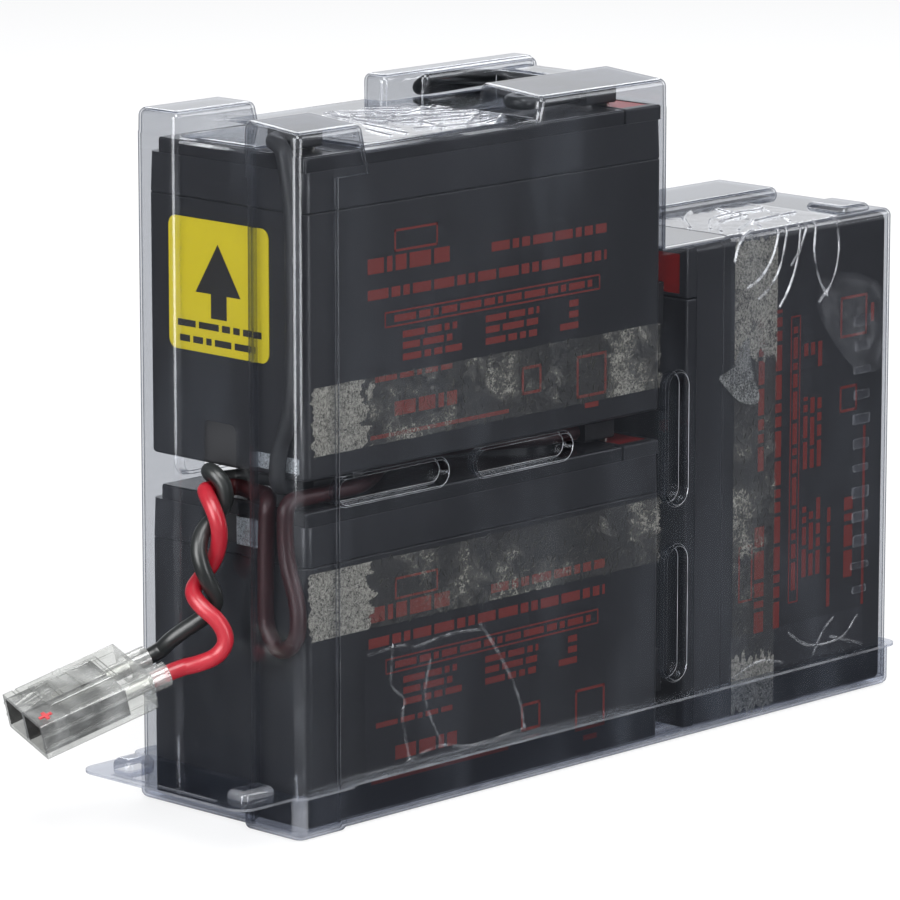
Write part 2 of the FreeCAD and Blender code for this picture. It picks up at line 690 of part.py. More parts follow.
def build_sheets():
    face = "0 - sheet_gap - sheet_thickness"
    label = box("OrientationLabel", (face, "0 - sheet_gap"), ("label_front", "label_back"),
                ("label_low", "label_high"), "label_round", lambda middle, run: abs(run.x) > 0.99)
    place_in_pack(label, "orientation_label")
    tapes = {
        "upper_front_tape": (("2.6", "150.6"), ("111", "111 + tape_width")),
        "lower_front_tape": (("1.0", "150.8"), ("57", "57 + tape_width")),
        "right_front_tape": (("184.5", "184.5 + tape_width"), ("2.6", "151.2")),
    }
    for name, (x, z) in tapes.items():
        key = "".join(word.capitalize() for word in name.split("_"))
        tape = box(key, x, (face, "0 - sheet_gap"), z)
        place_in_pack(tape, name)
    patches = {
        "lower_end_patch": (("12.9", "28.4"), ("82.0", "90.2")),
        "upper_end_patch": (("2.6", "20.0"), ("106.0", "110.5")),
    }
    for name, (y, z) in patches.items():
        key = "".join(word.capitalize() for word in name.split("_"))
        patch = box(key, (face, "0 - sheet_gap"), y, z)
        place_in_pack(patch, name)
    over = "hood_top + sheet_gap"
    left_top = box("LeftTopTape", ("26", "92.5"), ("0.9", "49.5"), (over, over + " + sheet_thickness"))
    place_in_pack(left_top, "left_top_tape")
    step_front = "hood_front - sheet_gap - sheet_thickness"
    over_low = "hood_low_top + sheet_gap"
    flap = box("RightTapeFlap", ("181", "232.5"), (step_front, "hood_front - sheet_gap"),
               ("108", "hood_low_top - corner_round"))
    right_top = box("RightTapeTop", ("181", "232.5"), ("hood_front + corner_round", "40.5"),
                    (over_low, over_low + " + sheet_thickness"))
    seals = {"left_foot_tape": (("22", "91.5"), ("14.2", "51.5")), "right_foot_tape": (("182", "246"), ("14.2", "27.5"))}
    for name, (x, z) in seals.items():
        key = "".join(word.capitalize() for word in name.split("_"))
        seal = box(key, x, (step_front, "hood_front - sheet_gap"), z)
        place_in_pack(seal, name)
    corner = tape_bend("RightTapeBend", ("181", "232.5"))
    right_tape = doc.addObject("Part::MultiFuse", "RightTopTape")
    right_tape.Shapes = [flap, right_top, corner]
    doc.recompute()
    place_in_pack(right_tape, "right_top_tape")


# Wiring: tubes along straight runs joined by tangent arcs.

def wire_path(points):
    """The route's wire, its length and its smallest radius."""
    edges = []
    radii = []
    start = points[0]
    for before, corner, after in zip(points, points[1:], points[2:]):
        to_before, to_after = before - corner, after - corner
        shorter = min(to_before.Length, to_after.Length)
        half_turn = (math.pi - to_before.getAngle(to_after)) / 2
        tangent = 0.45 * shorter
        radii.append(tangent / math.tan(half_turn))
        first = corner + to_before.normalize() * tangent
        last = corner + to_after.normalize() * tangent
        inward = (to_before + to_after).normalize()
        reach = math.hypot(radii[-1], tangent) - radii[-1]
        edges.append(Part.LineSegment(start, first).toShape())
        edges.append(Part.Arc(first, corner + inward * reach, last).toShape())
        start = last
    edges.append(Part.LineSegment(start, points[-1]).toShape())
    path = Part.Wire(edges)
    return path, path.Length, min(radii)


def tube(name, label, route, diameter):
    points = [Vector(*point) for point in route]
    path, length, tightest = wire_path(points)
    radius = number(diameter) / 2
    ring = Part.Wire(Part.makeCircle(radius, points[0], points[1] - points[0]))
    solid = path.makePipeShell([ring], True, False, 2)
    item = doc.addObject("Part::Feature", name)
    item.Shape = solid
    place_in_pack(item, label)
    expected = math.pi * radius ** 2 * length
    print("%-22s length %6.1f  smallest radius %5.1f  volume ratio %.4f" % (
        label, length, tightest, solid.Volume / expected))


def connector_frame():
    base = Vector(number("connector_x"), number("connector_y"), number("connector_z"))
    turn = Rotation(number("connector_yaw"), number("connector_pitch"), number("connector_roll"))
    return Placement(base, turn)


def barrel_end(side, out):
    """A point on a barrel's axis, a distance out of its open end, in pack coordinates."""
    across = number("barrel_inset") if side == "black" else number("connector_width - barrel_inset")
    drop = -number("connector_height") / 2
    point = connector_frame().multVec(Vector(-number("barrel_length") - out, across, drop))
    return (point.x, point.y, point.z)


RED_FREE = [
    (-1.2, 33.6, 97.9), (-6.2, 34.7, 98.0), (-8.4, 33.0, 98.1), (-10.0, 27.7, 93.8), (-9.3, 26.1, 88.7),
    (-7.4, 28.2, 82.9), (-6.9, 31.3, 77.1), (-9.5, 33.9, 72.6), (-14.0, 33.4, 69.2), (-14.6, 28.4, 65.7),
    (-11.5, 24.2, 61.6), (-9.7, 22.6, 56.0), (-11.6, 24.6, 51.2), (-16.6, 27.8, 49.2),
    barrel_end("red", 4.0), barrel_end("red", -5.0),
]
BLACK_FREE = [
    (-1.2, 37.6, 101.2), (-4.6, 35.9, 103.4), (-6.1, 31.7, 103.5), (-4.9, 28.5, 100.3), (-4.3, 28.5, 94.7),
    (-5.8, 31.2, 90.4), (-10.1, 32.3, 87.1), (-12.9, 31.4, 82.5), (-13.4, 29.7, 77.8), (-11.4, 28.7, 72.5),
    (-8.4, 28.6, 67.5), (-8.7, 29.8, 63.5), (-12.0, 33.0, 60.1), (-15.1, 36.5, 57.0), (-17.4, 39.4, 54.0),
    barrel_end("black", 4.0), barrel_end("black", -5.0),
]
RED_HELD = [
    (-1.2, 33.6, 97.9), (3.8, 32.5, 97.8), (2.4, 24.5, 97.7), (2.0, 17.2, 97.6), (-3.05, 12.6, 97.3),
    (-3.05, 13.4, 84.0), (-3.05, 13.7, 60.0), (-3.05, 8.0, 52.8), (-3.05, 0.6, 58.0), (-3.05, 0.2, 68.0),
    (-3.05, 5.0, 81.0), (-3.05, 5.6, 90.0), (-3.05, 5.2, 98.2), (8.5, 5.3, 98.2), (27.0, 5.7, 98.2), (40.0, 13.0, 98.0), (57.0, 26.0, 97.8), (90.0, 28.0, 97.8),
    (104.0, 19.0, 98.4), (114.0, 13.1, 98.9), (132.4, 13.1, 98.9),
]
BLACK_HELD = [
    (-1.2, 37.6, 101.2), (2.2, 39.3, 99.0), (8.4, 34.0, 99.8), (8.6, 23.0, 101.2), (7.2, 13.2, 101.4),
    (-3.05, 8.8, 101.5), (-3.05, 8.4, 111.0), (-3.05, 2.2, 125.0), (-3.05, 1.4, 152.0), (-3.05, 1.8, 184.0),
    (-3.05, 5.4, 200.6), (-0.6, 13.1, 201.4), (8.6, 13.1, 201.4),
]
JUMPER_LOWER_RIGHT = [
    (18.6, 13.1, 98.9), (31.0, 13.1, 98.9), (42.0, 32.0, 98.7), (86.0, 46.0, 98.6), (140.0, 50.5, 98.6),
    (157.0, 50.5, 99.0), (157.6, 46.0, 113.0), (159.1, 26.0, 116.0), (159.1, 13.1, 120.0),
    (159.1, 13.1, 133.9),
]
JUMPER_RIGHT_UPPER = [
    (159.1, 13.1, 20.2), (159.1, 13.1, 38.0), (157.5, 40.0, 62.0), (156.8, 58.4, 88.0), (156.6, 59.2, 120.0),
    (153.7, 61.4, 148.0), (153.7, 62.6, 172.0), (153.8, 63.6, 200.6), (140.0, 63.8, 200.4), (118.0, 64.0, 200.0), (110.0, 63.6, 200.2),
    (110.0, 58.7, 203.4), (120.0, 58.7, 203.4), (134.0, 58.9, 202.2), (142.5, 58.4, 201.2), (144.5, 50.0, 200.9), (144.5, 34.0, 200.9),
    (142.0, 22.0, 201.0), (132.0, 20.6, 201.2), (110.0, 20.8, 201.4), (103.0, 19.0, 201.4), (103.0, 12.0, 201.4),
    (112.0, 13.1, 201.4), (132.4, 13.1, 201.4),
]


def build_wiring():
    tube("RedLead", "red_lead", RED_FREE, "lead_diameter")
    tube("BlackLead", "black_lead", BLACK_FREE, "lead_diameter")
    tube("RedHeld", "red_inner_lead", RED_HELD, "lead_diameter")
    tube("BlackHeld", "black_inner_lead", BLACK_HELD, "lead_diameter")
    tube("JumperLowerRight", "lower_right_jumper", JUMPER_LOWER_RIGHT, "jumper_diameter")
    tube("JumperRightUpper", "right_upper_jumper", JUMPER_RIGHT_UPPER, "jumper_diameter")


def build_relief():
    """The latch frame on the connector's top and the ledges along its sides."""
    rails = {
        "LeftRail": (("frame_back", "frame_front"), ("rail_left", "rail_left + rail_width")),
        "RightRail": (("frame_back", "frame_front"), ("rail_right - rail_width", "rail_right")),
        "BackRib": (("frame_back", "frame_back + rail_width"), ("rail_left", "rail_right")),
        "MiddleRib": (("rib_back", "rib_back + rail_width"), ("rail_left", "rail_right")),
        "ForwardRib": (("rib_front", "rib_front + rail_width"), ("rail_left", "rail_right")),
        "FrontRib": (("frame_front - rail_width", "frame_front"), ("rail_left", "rail_right")),
    }
    relief = []
    for name, (x, y) in rails.items():
        relief.append(box("Housing" + name, x, y, ("0 - 0.5", "rail_height")))
    for side, y in (("Red", ("connector_width - 0.5", "connector_width + ledge_proud")),
                    ("Black", ("0 - ledge_proud", "0.5"))):
        for level in ("high", "low"):
            z = ("ledge_%s - ledge_thickness" % level, "ledge_%s" % level)
            relief.append(box("Housing%s%sLedge" % (side, level.capitalize()), ("0", "connector_length"), y, z))
        relief.append(box("Housing%sCatch" % side, ("17.5", "20.0"), y, ("0 - 3.6", "0 - 0.6")))
    return relief


def build_connector():
    place = connector_frame()
    height = "connector_height"
    shell = box("HousingShell", ("0", "connector_length"), ("0", "connector_width"), ("0 - " + height, "0"),
                "connector_round", lambda middle, run: abs(run.x) > 0.99)
    cuts = []
    for side in ("black", "red"):
        near = "0" if side == "black" else "connector_width / 2"
        y = ("%s + connector_wall" % near, "%s + connector_width / 2 - connector_wall / 2" % near)
        if side == "red":
            y = ("%s + connector_wall / 2" % near, "connector_width - connector_wall")
        cuts.append(box("Cavity" + side.capitalize(), ("connector_back - 0.6", "connector_length + 1"), y,
                        ("0 - %s + connector_wall" % height, "0 - connector_wall")))
    barrels = []
    bores = []
    for side in ("black", "red"):
        across = "barrel_inset" if side == "black" else "connector_width - barrel_inset"
        for kind, diameter, start, length in (
                ("Barrel", "barrel_diameter", "0 - barrel_length", "barrel_length + 2"),
                ("Bore", "barrel_bore", "0 - barrel_length - 1", "barrel_length + connector_back + 2")):
            key = kind + side.capitalize()
            body = new_body(key)
            sketch = circle(body, key + "Circle", "YZ_Plane", across, "0 - connector_height / 2", diameter, start)
            pad(body, key + "Pad", sketch, length)
            (barrels if kind == "Barrel" else bores).append(body)
    relief = build_relief()
    whole = doc.addObject("Part::MultiFuse", "HousingWhole")
    whole.Shapes = [shell] + barrels + relief
    notch = box("HousingNotch", ("notch_start", "notch_end"), ("0 - 1", "notch_reach"), ("0 - 0.7", "1"))
    slot = box("HousingSlot", ("frame_back + 4", "rib_front - 3.4"), ("rail_right - 2.9", "rail_right - 1.7"),
               ("0 - 0.9", "1"))
    hollow = doc.addObject("Part::MultiFuse", "HousingHollow")
    hollow.Shapes = cuts + bores + [notch, slot]
    housing = doc.addObject("Part::Cut", "Housing")
    housing.Base = whole
    housing.Tool = hollow
    doc.recompute()
    place_in_pack(housing, "connector_housing", place)
    arms = []
    for key, along, across in (("Long", "mark_length", "mark_width"), ("Cross", "mark_width", "mark_length")):
        arms.append(box("Mark" + key, ("mark_x - %s / 2" % along, "mark_x + %s / 2" % along),
                        ("mark_y - %s / 2" % across, "mark_y + %s / 2" % across), ("0", "mark_thickness")))
    mark = doc.addObject("Part::MultiFuse", "PositiveMark")
    mark.Shapes = arms
    doc.recompute()
    place_in_pack(mark, "positive_mark", place)
    for side in ("black", "red"):
        across = "barrel_inset" if side == "black" else "connector_width - barrel_inset"
        key = "Contact" + side.capitalize()
        blade = box(key, ("connector_back - 0.5", "connector_back + contact_length"),
                    ("%s - contact_width / 2" % across, "%s + contact_width / 2" % across),
                    ("0 - connector_height / 2 - contact_thickness / 2",
                     "0 - connector_height / 2 + contact_thickness / 2"))
        ring = circle(blade, key + "CrimpCircle", "YZ_Plane", across, "0 - connector_height / 2",
                      "crimp_diameter", "0 - barrel_length + 5.1")
        pad(blade, key + "Crimp", ring, "barrel_length - 5.1 + connector_back + 1")
        place_in_pack(blade, side + "_contact", place)


build_hood()
build_tray()
for battery in BATTERIES:
    build_battery(battery)
build_sheets()
build_wiring()
build_connector()
doc.recompute()

faults = []
for item in doc.Objects:
    if "Invalid" in item.State or "Error" in item.State:
        faults.append(item.Name + " " + ",".join(item.State))
for item in finished:
    if item.Shape.isNull() or not item.Shape.isValid():
        faults.append(item.Label + " has no valid shape")
if faults:
    raise SystemExit("\n".join(faults))

os.makedirs("parts", exist_ok=True)
for item in finished:
    item.Shape.exportStep("parts/%s.step" % item.Label)
    bounds = item.Shape.BoundBox
    print("%-26s %d solid %8.1f mm3  %s" % (
        item.Label, len(item.Shape.Solids), item.Shape.Volume,
        " ".join("%.1f..%.1f" % pair for pair in (
            (bounds.XMin, bounds.XMax), (bounds.YMin, bounds.YMax), (bounds.ZMin, bounds.ZMax)))))
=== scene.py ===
import math

import bmesh
import bpy
from mathutils import Matrix, Vector, noise


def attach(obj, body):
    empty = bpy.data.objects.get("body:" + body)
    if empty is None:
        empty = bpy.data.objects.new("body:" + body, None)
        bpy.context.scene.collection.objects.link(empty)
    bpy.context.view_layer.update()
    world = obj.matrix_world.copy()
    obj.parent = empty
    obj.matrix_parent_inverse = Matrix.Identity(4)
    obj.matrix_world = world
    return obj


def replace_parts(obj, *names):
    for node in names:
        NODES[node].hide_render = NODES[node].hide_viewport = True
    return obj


bl_info = {
    "name": "Battery cartridge dressing",
    "version": (1, 0, 0),
    "blender": (4, 5, 0),
    "location": "View3D > Sidebar > Cartridge",
    "description": "Finishes, tapes, leads and studio for a clear-shelled battery cartridge",
    "category": "Object",
}

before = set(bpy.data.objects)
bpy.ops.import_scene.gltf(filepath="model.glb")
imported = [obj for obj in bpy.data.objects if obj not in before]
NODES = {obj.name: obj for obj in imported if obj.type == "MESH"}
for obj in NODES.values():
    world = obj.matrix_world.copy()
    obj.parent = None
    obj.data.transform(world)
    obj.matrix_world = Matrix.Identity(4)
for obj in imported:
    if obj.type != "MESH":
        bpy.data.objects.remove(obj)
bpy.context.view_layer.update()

# Pack coordinates are in millimetres from the left, front, lower corner of the lower battery.
ORIGIN = Vector((128.2, 32.5, 0.0))
SIDES = ("lower", "upper", "right")


def at(x, y, z):
    """A point in pack coordinates, in metres in the part's frame."""
    return (Vector((x, y, z)) - ORIGIN) * 0.001


def shaded(colour, share, lift=0.0):
    """A colour made darker or paler, and opaque."""
    return tuple(min(1.0, part * share + lift) for part in colour[:3]) + (1.0,)


# Node trees

class Tree:
    """A node tree, to which one method adds any node."""

    def __init__(self, tree):
        self.tree = tree

    def node(self, kind, settings=None, sockets=None):
        """The outputs of a new node, given its settings and the values or links of its sockets."""
        made = self.tree.nodes.new(kind)
        for key, value in (settings or {}).items():
            setattr(made, key, value)
        for key, value in (sockets or {}).items():
            value = getattr(value, "socket", value)
            if isinstance(value, bpy.types.NodeSocket):
                self.tree.links.new(value, made.inputs[key])
            else:
                made.inputs[key].default_value = value
        return made.outputs

    def over(self, mask, under, top):
        """One shader laid over another by a mask."""
        return self.node("ShaderNodeMixShader", {}, {0: mask, 1: under, 2: top})[0]


class Level:
    """A number on a socket. Arithmetic on it adds Math nodes to its tree."""

    def __init__(self, owner, socket):
        self.owner = owner
        self.socket = socket

    def _math(self, operation, first, second=0.0):
        return Level(self.owner, self.owner.node("ShaderNodeMath", {"operation": operation}, {
            0: first, 1: second})[0])

    def __add__(self, other):
        return self._math("ADD", self, other)

    __radd__ = __add__

    def __sub__(self, other):
        return self._math("SUBTRACT", self, other)

    def __rsub__(self, other):
        return self._math("SUBTRACT", other, self)

    def __mul__(self, other):
        return self._math("MULTIPLY", self, other)

    __rmul__ = __mul__

    def __pow__(self, other):
        return self._math("POWER", self, other)

    def __rpow__(self, other):
        return self._math("POWER", other, self)

    def sine(self):
        """The sine of the number, in radians."""
        return self._math("SINE", self)

    def between(self, low, high):
        """0 below low, 1 above high, and a smooth rise in between."""
        made = self.owner.node("ShaderNodeMapRange", {"interpolation_type": "SMOOTHSTEP"}, {
            "Value": self, "From Min": low, "From Max": high})
        return Level(self.owner, made["Result"])


class Finish(Tree):
    """One material and the nodes in it."""

    def __init__(self, name):
        self.material = bpy.data.materials.new(name)
        self.material.use_nodes = True
        super().__init__(self.material.node_tree)
        self.tree.nodes.clear()
        self.place = self.node("ShaderNodeTexCoord")["Object"]

    def noise(self, scale, detail, roughness, stretch=None):
        """A cloudy pattern from 0 to 1 on Object coordinates."""
        where = self.place
        if stretch:
            where = self.node("ShaderNodeMapping", {}, {"Vector": where, "Scale": stretch})[0]
        return Level(self, self.node("ShaderNodeTexNoise", {}, {
            "Vector": where, "Scale": scale, "Detail": detail, "Roughness": roughness})["Fac"])

    def marked(self, name):
        """The number that the mesh's own attribute holds."""
        return Level(self, self.node("ShaderNodeAttribute", {"attribute_name": name})["Fac"])

    def turned_away(self):
        """0 on a surface seen square on, and 1 at its outline."""
        return Level(self, self.node("ShaderNodeLayerWeight", {}, {"Blend": 0.5})["Facing"])

    def blend(self, mask, first, second):
        """A colour between two. A Mix node's colours are its sockets 6 and 7, and its output 2."""
        return self.node("ShaderNodeMix", {"data_type": "RGBA"}, {0: mask, 6: first, 7: second})[2]

    def bump(self, height, strength, distance):
        """A normal for relief of the given depth in metres."""
        return self.node("ShaderNodeBump", {}, {
            "Height": height, "Strength": strength, "Distance": distance})[0]

    def clear(self, tint):
        """A layer that lets light through and tints it."""
        return self.node("ShaderNodeBsdfTransparent", {}, {"Color": tint})[0]

    def coat(self, **sockets):
        """A Principled BSDF with the named sockets set or linked."""
        named = {key.replace("_", " ").title().replace("Ior", "IOR"): item for key, item in sockets.items()}
        return self.node("ShaderNodeBsdfPrincipled", {}, named)[0]

    def done(self, surface):
        """The material, with its surface linked."""
        self.node("ShaderNodeOutputMaterial", {}, {"Surface": surface})
        return self.material


# Finishes

# The patterns in the film are long in height, the way it was drawn over its form.
DRAWN = (1.0, 1.0, 0.35)


def schlick(facing, base):
    """Reflectance of a clear surface, from how far it turns away."""
    return base + facing ** 5.0 * (1.0 - base)


def clear_film(name, tint, edge_tint, haze, shine, glint):
    """A thin clear film: tinted, mirror-like where it turns away, with painted shade and a painted highlight
    along its bends.
    """
    skin = Finish(name)
    facing, bend = skin.turned_away(), skin.marked("bend")
    thick = skin.clear(edge_tint)
    body = skin.over(facing.between(0.34, 0.90), skin.clear(tint), thick)
    # Painted shade: a darker tint laid along the bends.
    body = skin.over(bend * 0.75, body, thick)
    cloud = skin.noise(28.0, 4.0, 0.6, DRAWN)
    streak = skin.noise(75.0, 3.0, 0.6)
    dust = skin.coat(base_color=(0.62, 0.68, 0.78, 1.0), roughness=0.6, specular_ior_level=0.2)
    body = skin.over(cloud.between(0.42, 0.8) * haze, body, dust)
    edge = skin.coat(base_color=(0.93, 0.95, 1.0, 1.0), roughness=0.22, specular_ior_level=1.0)
    # Painted highlight: a pale coat laid along the bends, broken by streaks.
    body = skin.over(bend * (streak.between(0.30, 0.70) * 0.6 + 0.4) * glint, body, edge)
    ripple = skin.noise(22.0, 2.0, 0.4, DRAWN)
    mirror = skin.coat(base_color=(0.95, 0.97, 1.0, 1.0), metallic=1.0, roughness=shine,
                       normal=skin.bump(ripple, strength=0.10, distance=0.0008))
    return skin.done(skin.over(schlick(facing, 0.045), body, mirror))


def battery_plastic(name, colour, roughness, grain):
    """Charcoal moulded plastic with a fine spark-eroded grain and a soft shine."""
    skin = Finish(name)
    fine = skin.noise(2600.0, 2.0, 0.6)
    wide = skin.noise(9.0, 3.0, 0.55)
    shade = skin.blend(wide.between(0.3, 0.7), colour, shaded(colour, 1.35))
    rough = roughness + (wide - 0.5) * 0.10 + (fine - 0.5) * 0.06
    return skin.done(skin.coat(base_color=shade, roughness=rough, specular_ior_level=0.5,
                               normal=skin.bump(fine, grain, distance=0.00012)))


def fibrous_tape(name, colour, thin, loose):
    """Grey tape of matted fibres: a thin dark layer where it lies flat, paler where it has come loose."""
    skin = Finish(name)
    fibres = skin.noise(2800.0, 3.0, 0.7)
    strands = skin.noise(1150.0, 4.0, 0.75)
    blots = skin.noise(60.0, 6.0, 0.68)
    mat = fibres * 0.45 + strands * 0.55
    pale = (blots * 0.8 + mat * 0.2 + skin.marked("loose") * 0.5).between(loose - 0.06, loose + 0.16)
    tone = skin.blend(mat.between(0.36, 0.62), shaded(colour, 0.4), colour)
    alpha = thin * (0.35 + mat.between(0.40, 0.60) * 1.1) + pale * (mat.between(0.30, 0.60) * 0.40 + 0.36)
    return skin.done(skin.coat(base_color=tone, roughness=0.9, alpha=alpha,
                               normal=skin.bump(mat, strength=0.9, distance=0.0003)))


def wire_skin(name, colour, roughness):
    """Flexible insulation with faint drawing marks along it and dulled rubbed places."""
    skin = Finish(name)
    marks = skin.noise(420.0, 3.0, 0.55)
    wear = skin.noise(60.0, 3.0, 0.6)
    shade = skin.blend(wear.between(0.35, 0.75), colour, shaded(colour, 1.25, lift=0.006))
    return skin.done(skin.coat(base_color=shade, roughness=roughness + wear * 0.16, specular_ior_level=0.5,
                               coat_weight=0.18, normal=skin.bump(marks, strength=0.18, distance=0.0002)))


def moulded(name, colour, roughness=0.4):
    """Plain coloured plastic or ink with a fine grain."""
    skin = Finish(name)
    grain = skin.noise(900.0, 2.0, 0.5)
    shade = skin.blend(grain, shaded(colour, 0.85), colour)
    return skin.done(skin.coat(base_color=shade, roughness=roughness + (grain - 0.5) * 0.1,
                               normal=skin.bump(grain, strength=0.15, distance=0.0001)))


def plated(name, colour):
    """Plated metal, brushed across its length."""
    skin = Finish(name)
    brushed = skin.noise(700.0, 3.0, 0.6, stretch=(1.0, 6.0, 1.0))
    shade = skin.blend(brushed, shaded(colour, 0.7), colour)
    return skin.done(skin.coat(base_color=shade, metallic=1.0, roughness=0.25 + brushed * 0.2,
                               normal=skin.bump(brushed, strength=0.2, distance=0.0001)))


def paper_label(name, colour):
    """Printed label stock with a very slight mottle and a satin varnish."""
    skin = Finish(name)
    mottle = skin.noise(150.0, 4.0, 0.6)
    shade = skin.blend(mottle, shaded(colour, 0.93), colour)
    return skin.done(skin.coat(base_color=shade, roughness=0.42 + mottle * 0.12,
                               normal=skin.bump(mottle, strength=0.12, distance=0.0002)))


def crystal(name, tint, deep_tint):
    """Clear moulded polycarbonate, with painted shade inside its sockets and a painted highlight along its
    edges.
    """
    skin = Finish(name)
    facing, bend, inner = skin.turned_away(), skin.marked("bend"), skin.marked("inner")
    body = skin.over(facing.between(0.3, 0.9), skin.clear(tint), skin.clear(deep_tint))
    flow = skin.noise(160.0, 3.0, 0.5, stretch=(1.0, 0.4, 1.0))
    milk = skin.coat(base_color=(0.80, 0.81, 0.79, 1.0), roughness=0.25)
    body = skin.over(flow.between(0.35, 0.75) * 0.22 + 0.10, body, milk)
    shade = skin.coat(base_color=(0.020, 0.020, 0.019, 1.0), roughness=0.25)
    # Painted shade: a dark coat on the socket walls.
    body = skin.over(inner * (flow.between(0.30, 0.70) * 0.05 + 0.94), body, shade)
    rim = skin.coat(base_color=(0.95, 0.95, 0.94, 1.0), roughness=0.15)
    # Painted highlight: a pale coat on the rounded edges.
    body = skin.over(bend * 0.85, body, rim)
    mirror = skin.coat(base_color=(0.97, 0.97, 0.98, 1.0), metallic=1.0, roughness=0.06,
                       normal=skin.bump(flow, strength=0.08, distance=0.0004))
    return skin.done(skin.over(schlick(facing, 0.07), body, mirror))


# Mesh helpers

# Corners of a CAD mesh that are closer than this, in metres, are merged.
WELD = 4e-6


def new_object(name, data):
    """A new object in the scene for a mesh, a curve, a lamp or a camera."""
    item = bpy.data.objects.new(name, data)
    bpy.context.scene.collection.objects.link(item)
    return item


def show(mesh, name, material=None):
    """A new object for a finished mesh, riding on the pack."""
    item = new_object(name, mesh)
    if material:
        mesh.materials.clear()
        mesh.materials.append(material)
    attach(item, "root")
    return item


def stand_for(node, mesh, name, material):
    """Show a mesh in place of a CAD node."""
    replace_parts(show(mesh, name, material), node)


def paint(names, material):
    """Give CAD nodes a material."""
    for name in names:
        mesh = NODES[name].data
        mesh.materials.clear()
        mesh.materials.append(material)


def mark(mesh, name, domain, values):
    """Store a number for each point or face of a mesh, for its material to read."""
    mesh.attributes.new(name, "FLOAT", domain).data.foreach_set("value", values)


def plain_mesh(name, corners, faces):
    """A mesh of the given corners and faces."""
    mesh = bpy.data.meshes.new(name)
    mesh.from_pydata(corners, [], faces)
    mesh.update()
    return mesh


def sheet_mesh(name, point, across, along):
    """A smooth grid of faces, its corners given by point(u, v) for u and v from 0 to 1."""
    corners = [point(i / across, j / along) for j in range(along + 1) for i in range(across + 1)]
    starts = [j * (across + 1) + i for j in range(along) for i in range(across)]
    faces = [(start, start + 1, start + across + 2, start + across + 1) for start in starts]
    mesh = plain_mesh(name, corners, faces)
    for face in mesh.polygons:
        face.use_smooth = True
    return mesh


def block_sheet(name, blocks, place):
    """One mesh of flat blocks, each from first to last u and v, laid by place(u, v)."""
    corners = [place(u, v) for u0, u1, v0, v1 in blocks for u, v in ((u0, v0), (u1, v0), (u1, v1), (u0, v1))]
    return plain_mesh(name, corners, [tuple(range(start, start + 4)) for start in range(0, len(corners), 4)])


def merged_copy(node):
    """A CAD node's triangles for editing, with their shared corners merged."""
    made = bmesh.new()
    made.from_mesh(NODES[node].data)
    bmesh.ops.remove_doubles(made, verts=made.verts[:], dist=WELD)
    return made


def sharp_edges(made, angle):
    """The edges where two faces turn by more than an angle in radians."""
    return [edge for edge in made.edges if len(edge.link_faces) == 2 and edge.calc_face_angle(0.0) > angle]


def round_edges(made, edges, width, segments=2):
    """The new faces of a rounding along edges."""
    return bmesh.ops.bevel(made, geom=edges, offset=width, segments=segments, profile=0.5, affect="EDGES",
                           clamp_overlap=True)["faces"]


def edited_mesh(name, made):
    """The plain mesh of an edited copy, which is then freed."""
    mesh = bpy.data.meshes.new(name)
    made.to_mesh(mesh)
    made.free()
    return mesh


class Growth(Tree):
    """A Geometry Nodes tree with named inputs, which turns a mesh into a plain finished mesh."""

    def __init__(self, name):
        super().__init__(bpy.data.node_groups.new(name, "GeometryNodeTree"))
        for way in ("INPUT", "OUTPUT"):
            self.tree.interface.new_socket("Geometry", in_out=way, socket_type="NodeSocketGeometry")
        self.start = self.node("NodeGroupInput")
        self.values = {}

    def size(self, name, value, kind="NodeSocketFloat"):
        """A named input of the tree."""
        made = self.tree.interface.new_socket(name, in_out="INPUT", socket_type=kind)
        made.default_value = value
        self.values[made.identifier] = value
        return self.start[name]

    def finish(self, instances, material):
        """End the tree with the instances realized and painted."""
        whole = self.node("GeometryNodeRealizeInstances", {}, {0: instances})[0]
        painted = self.node("GeometryNodeSetMaterial", {}, {"Geometry": whole, "Material": material})[0]
        self.node("NodeGroupOutput", {}, {0: painted})

    def grow(self, mesh, name):
        """The plain mesh that the tree makes from a mesh."""
        holder = new_object(name + "_seed", mesh)
        modifier = holder.modifiers.new("growth", "NODES")
        modifier.node_group = self.tree
        for identifier, value in self.values.items():
            modifier[identifier] = value
        view = bpy.context.evaluated_depsgraph_get()
        made = bpy.data.meshes.new_from_object(holder.evaluated_get(view))
        made.name = name
        holder.modifiers.clear()
        bpy.data.objects.remove(holder)
        return made


FIBRE_CORNERS = 5
FIBRE_TILT = 0.04


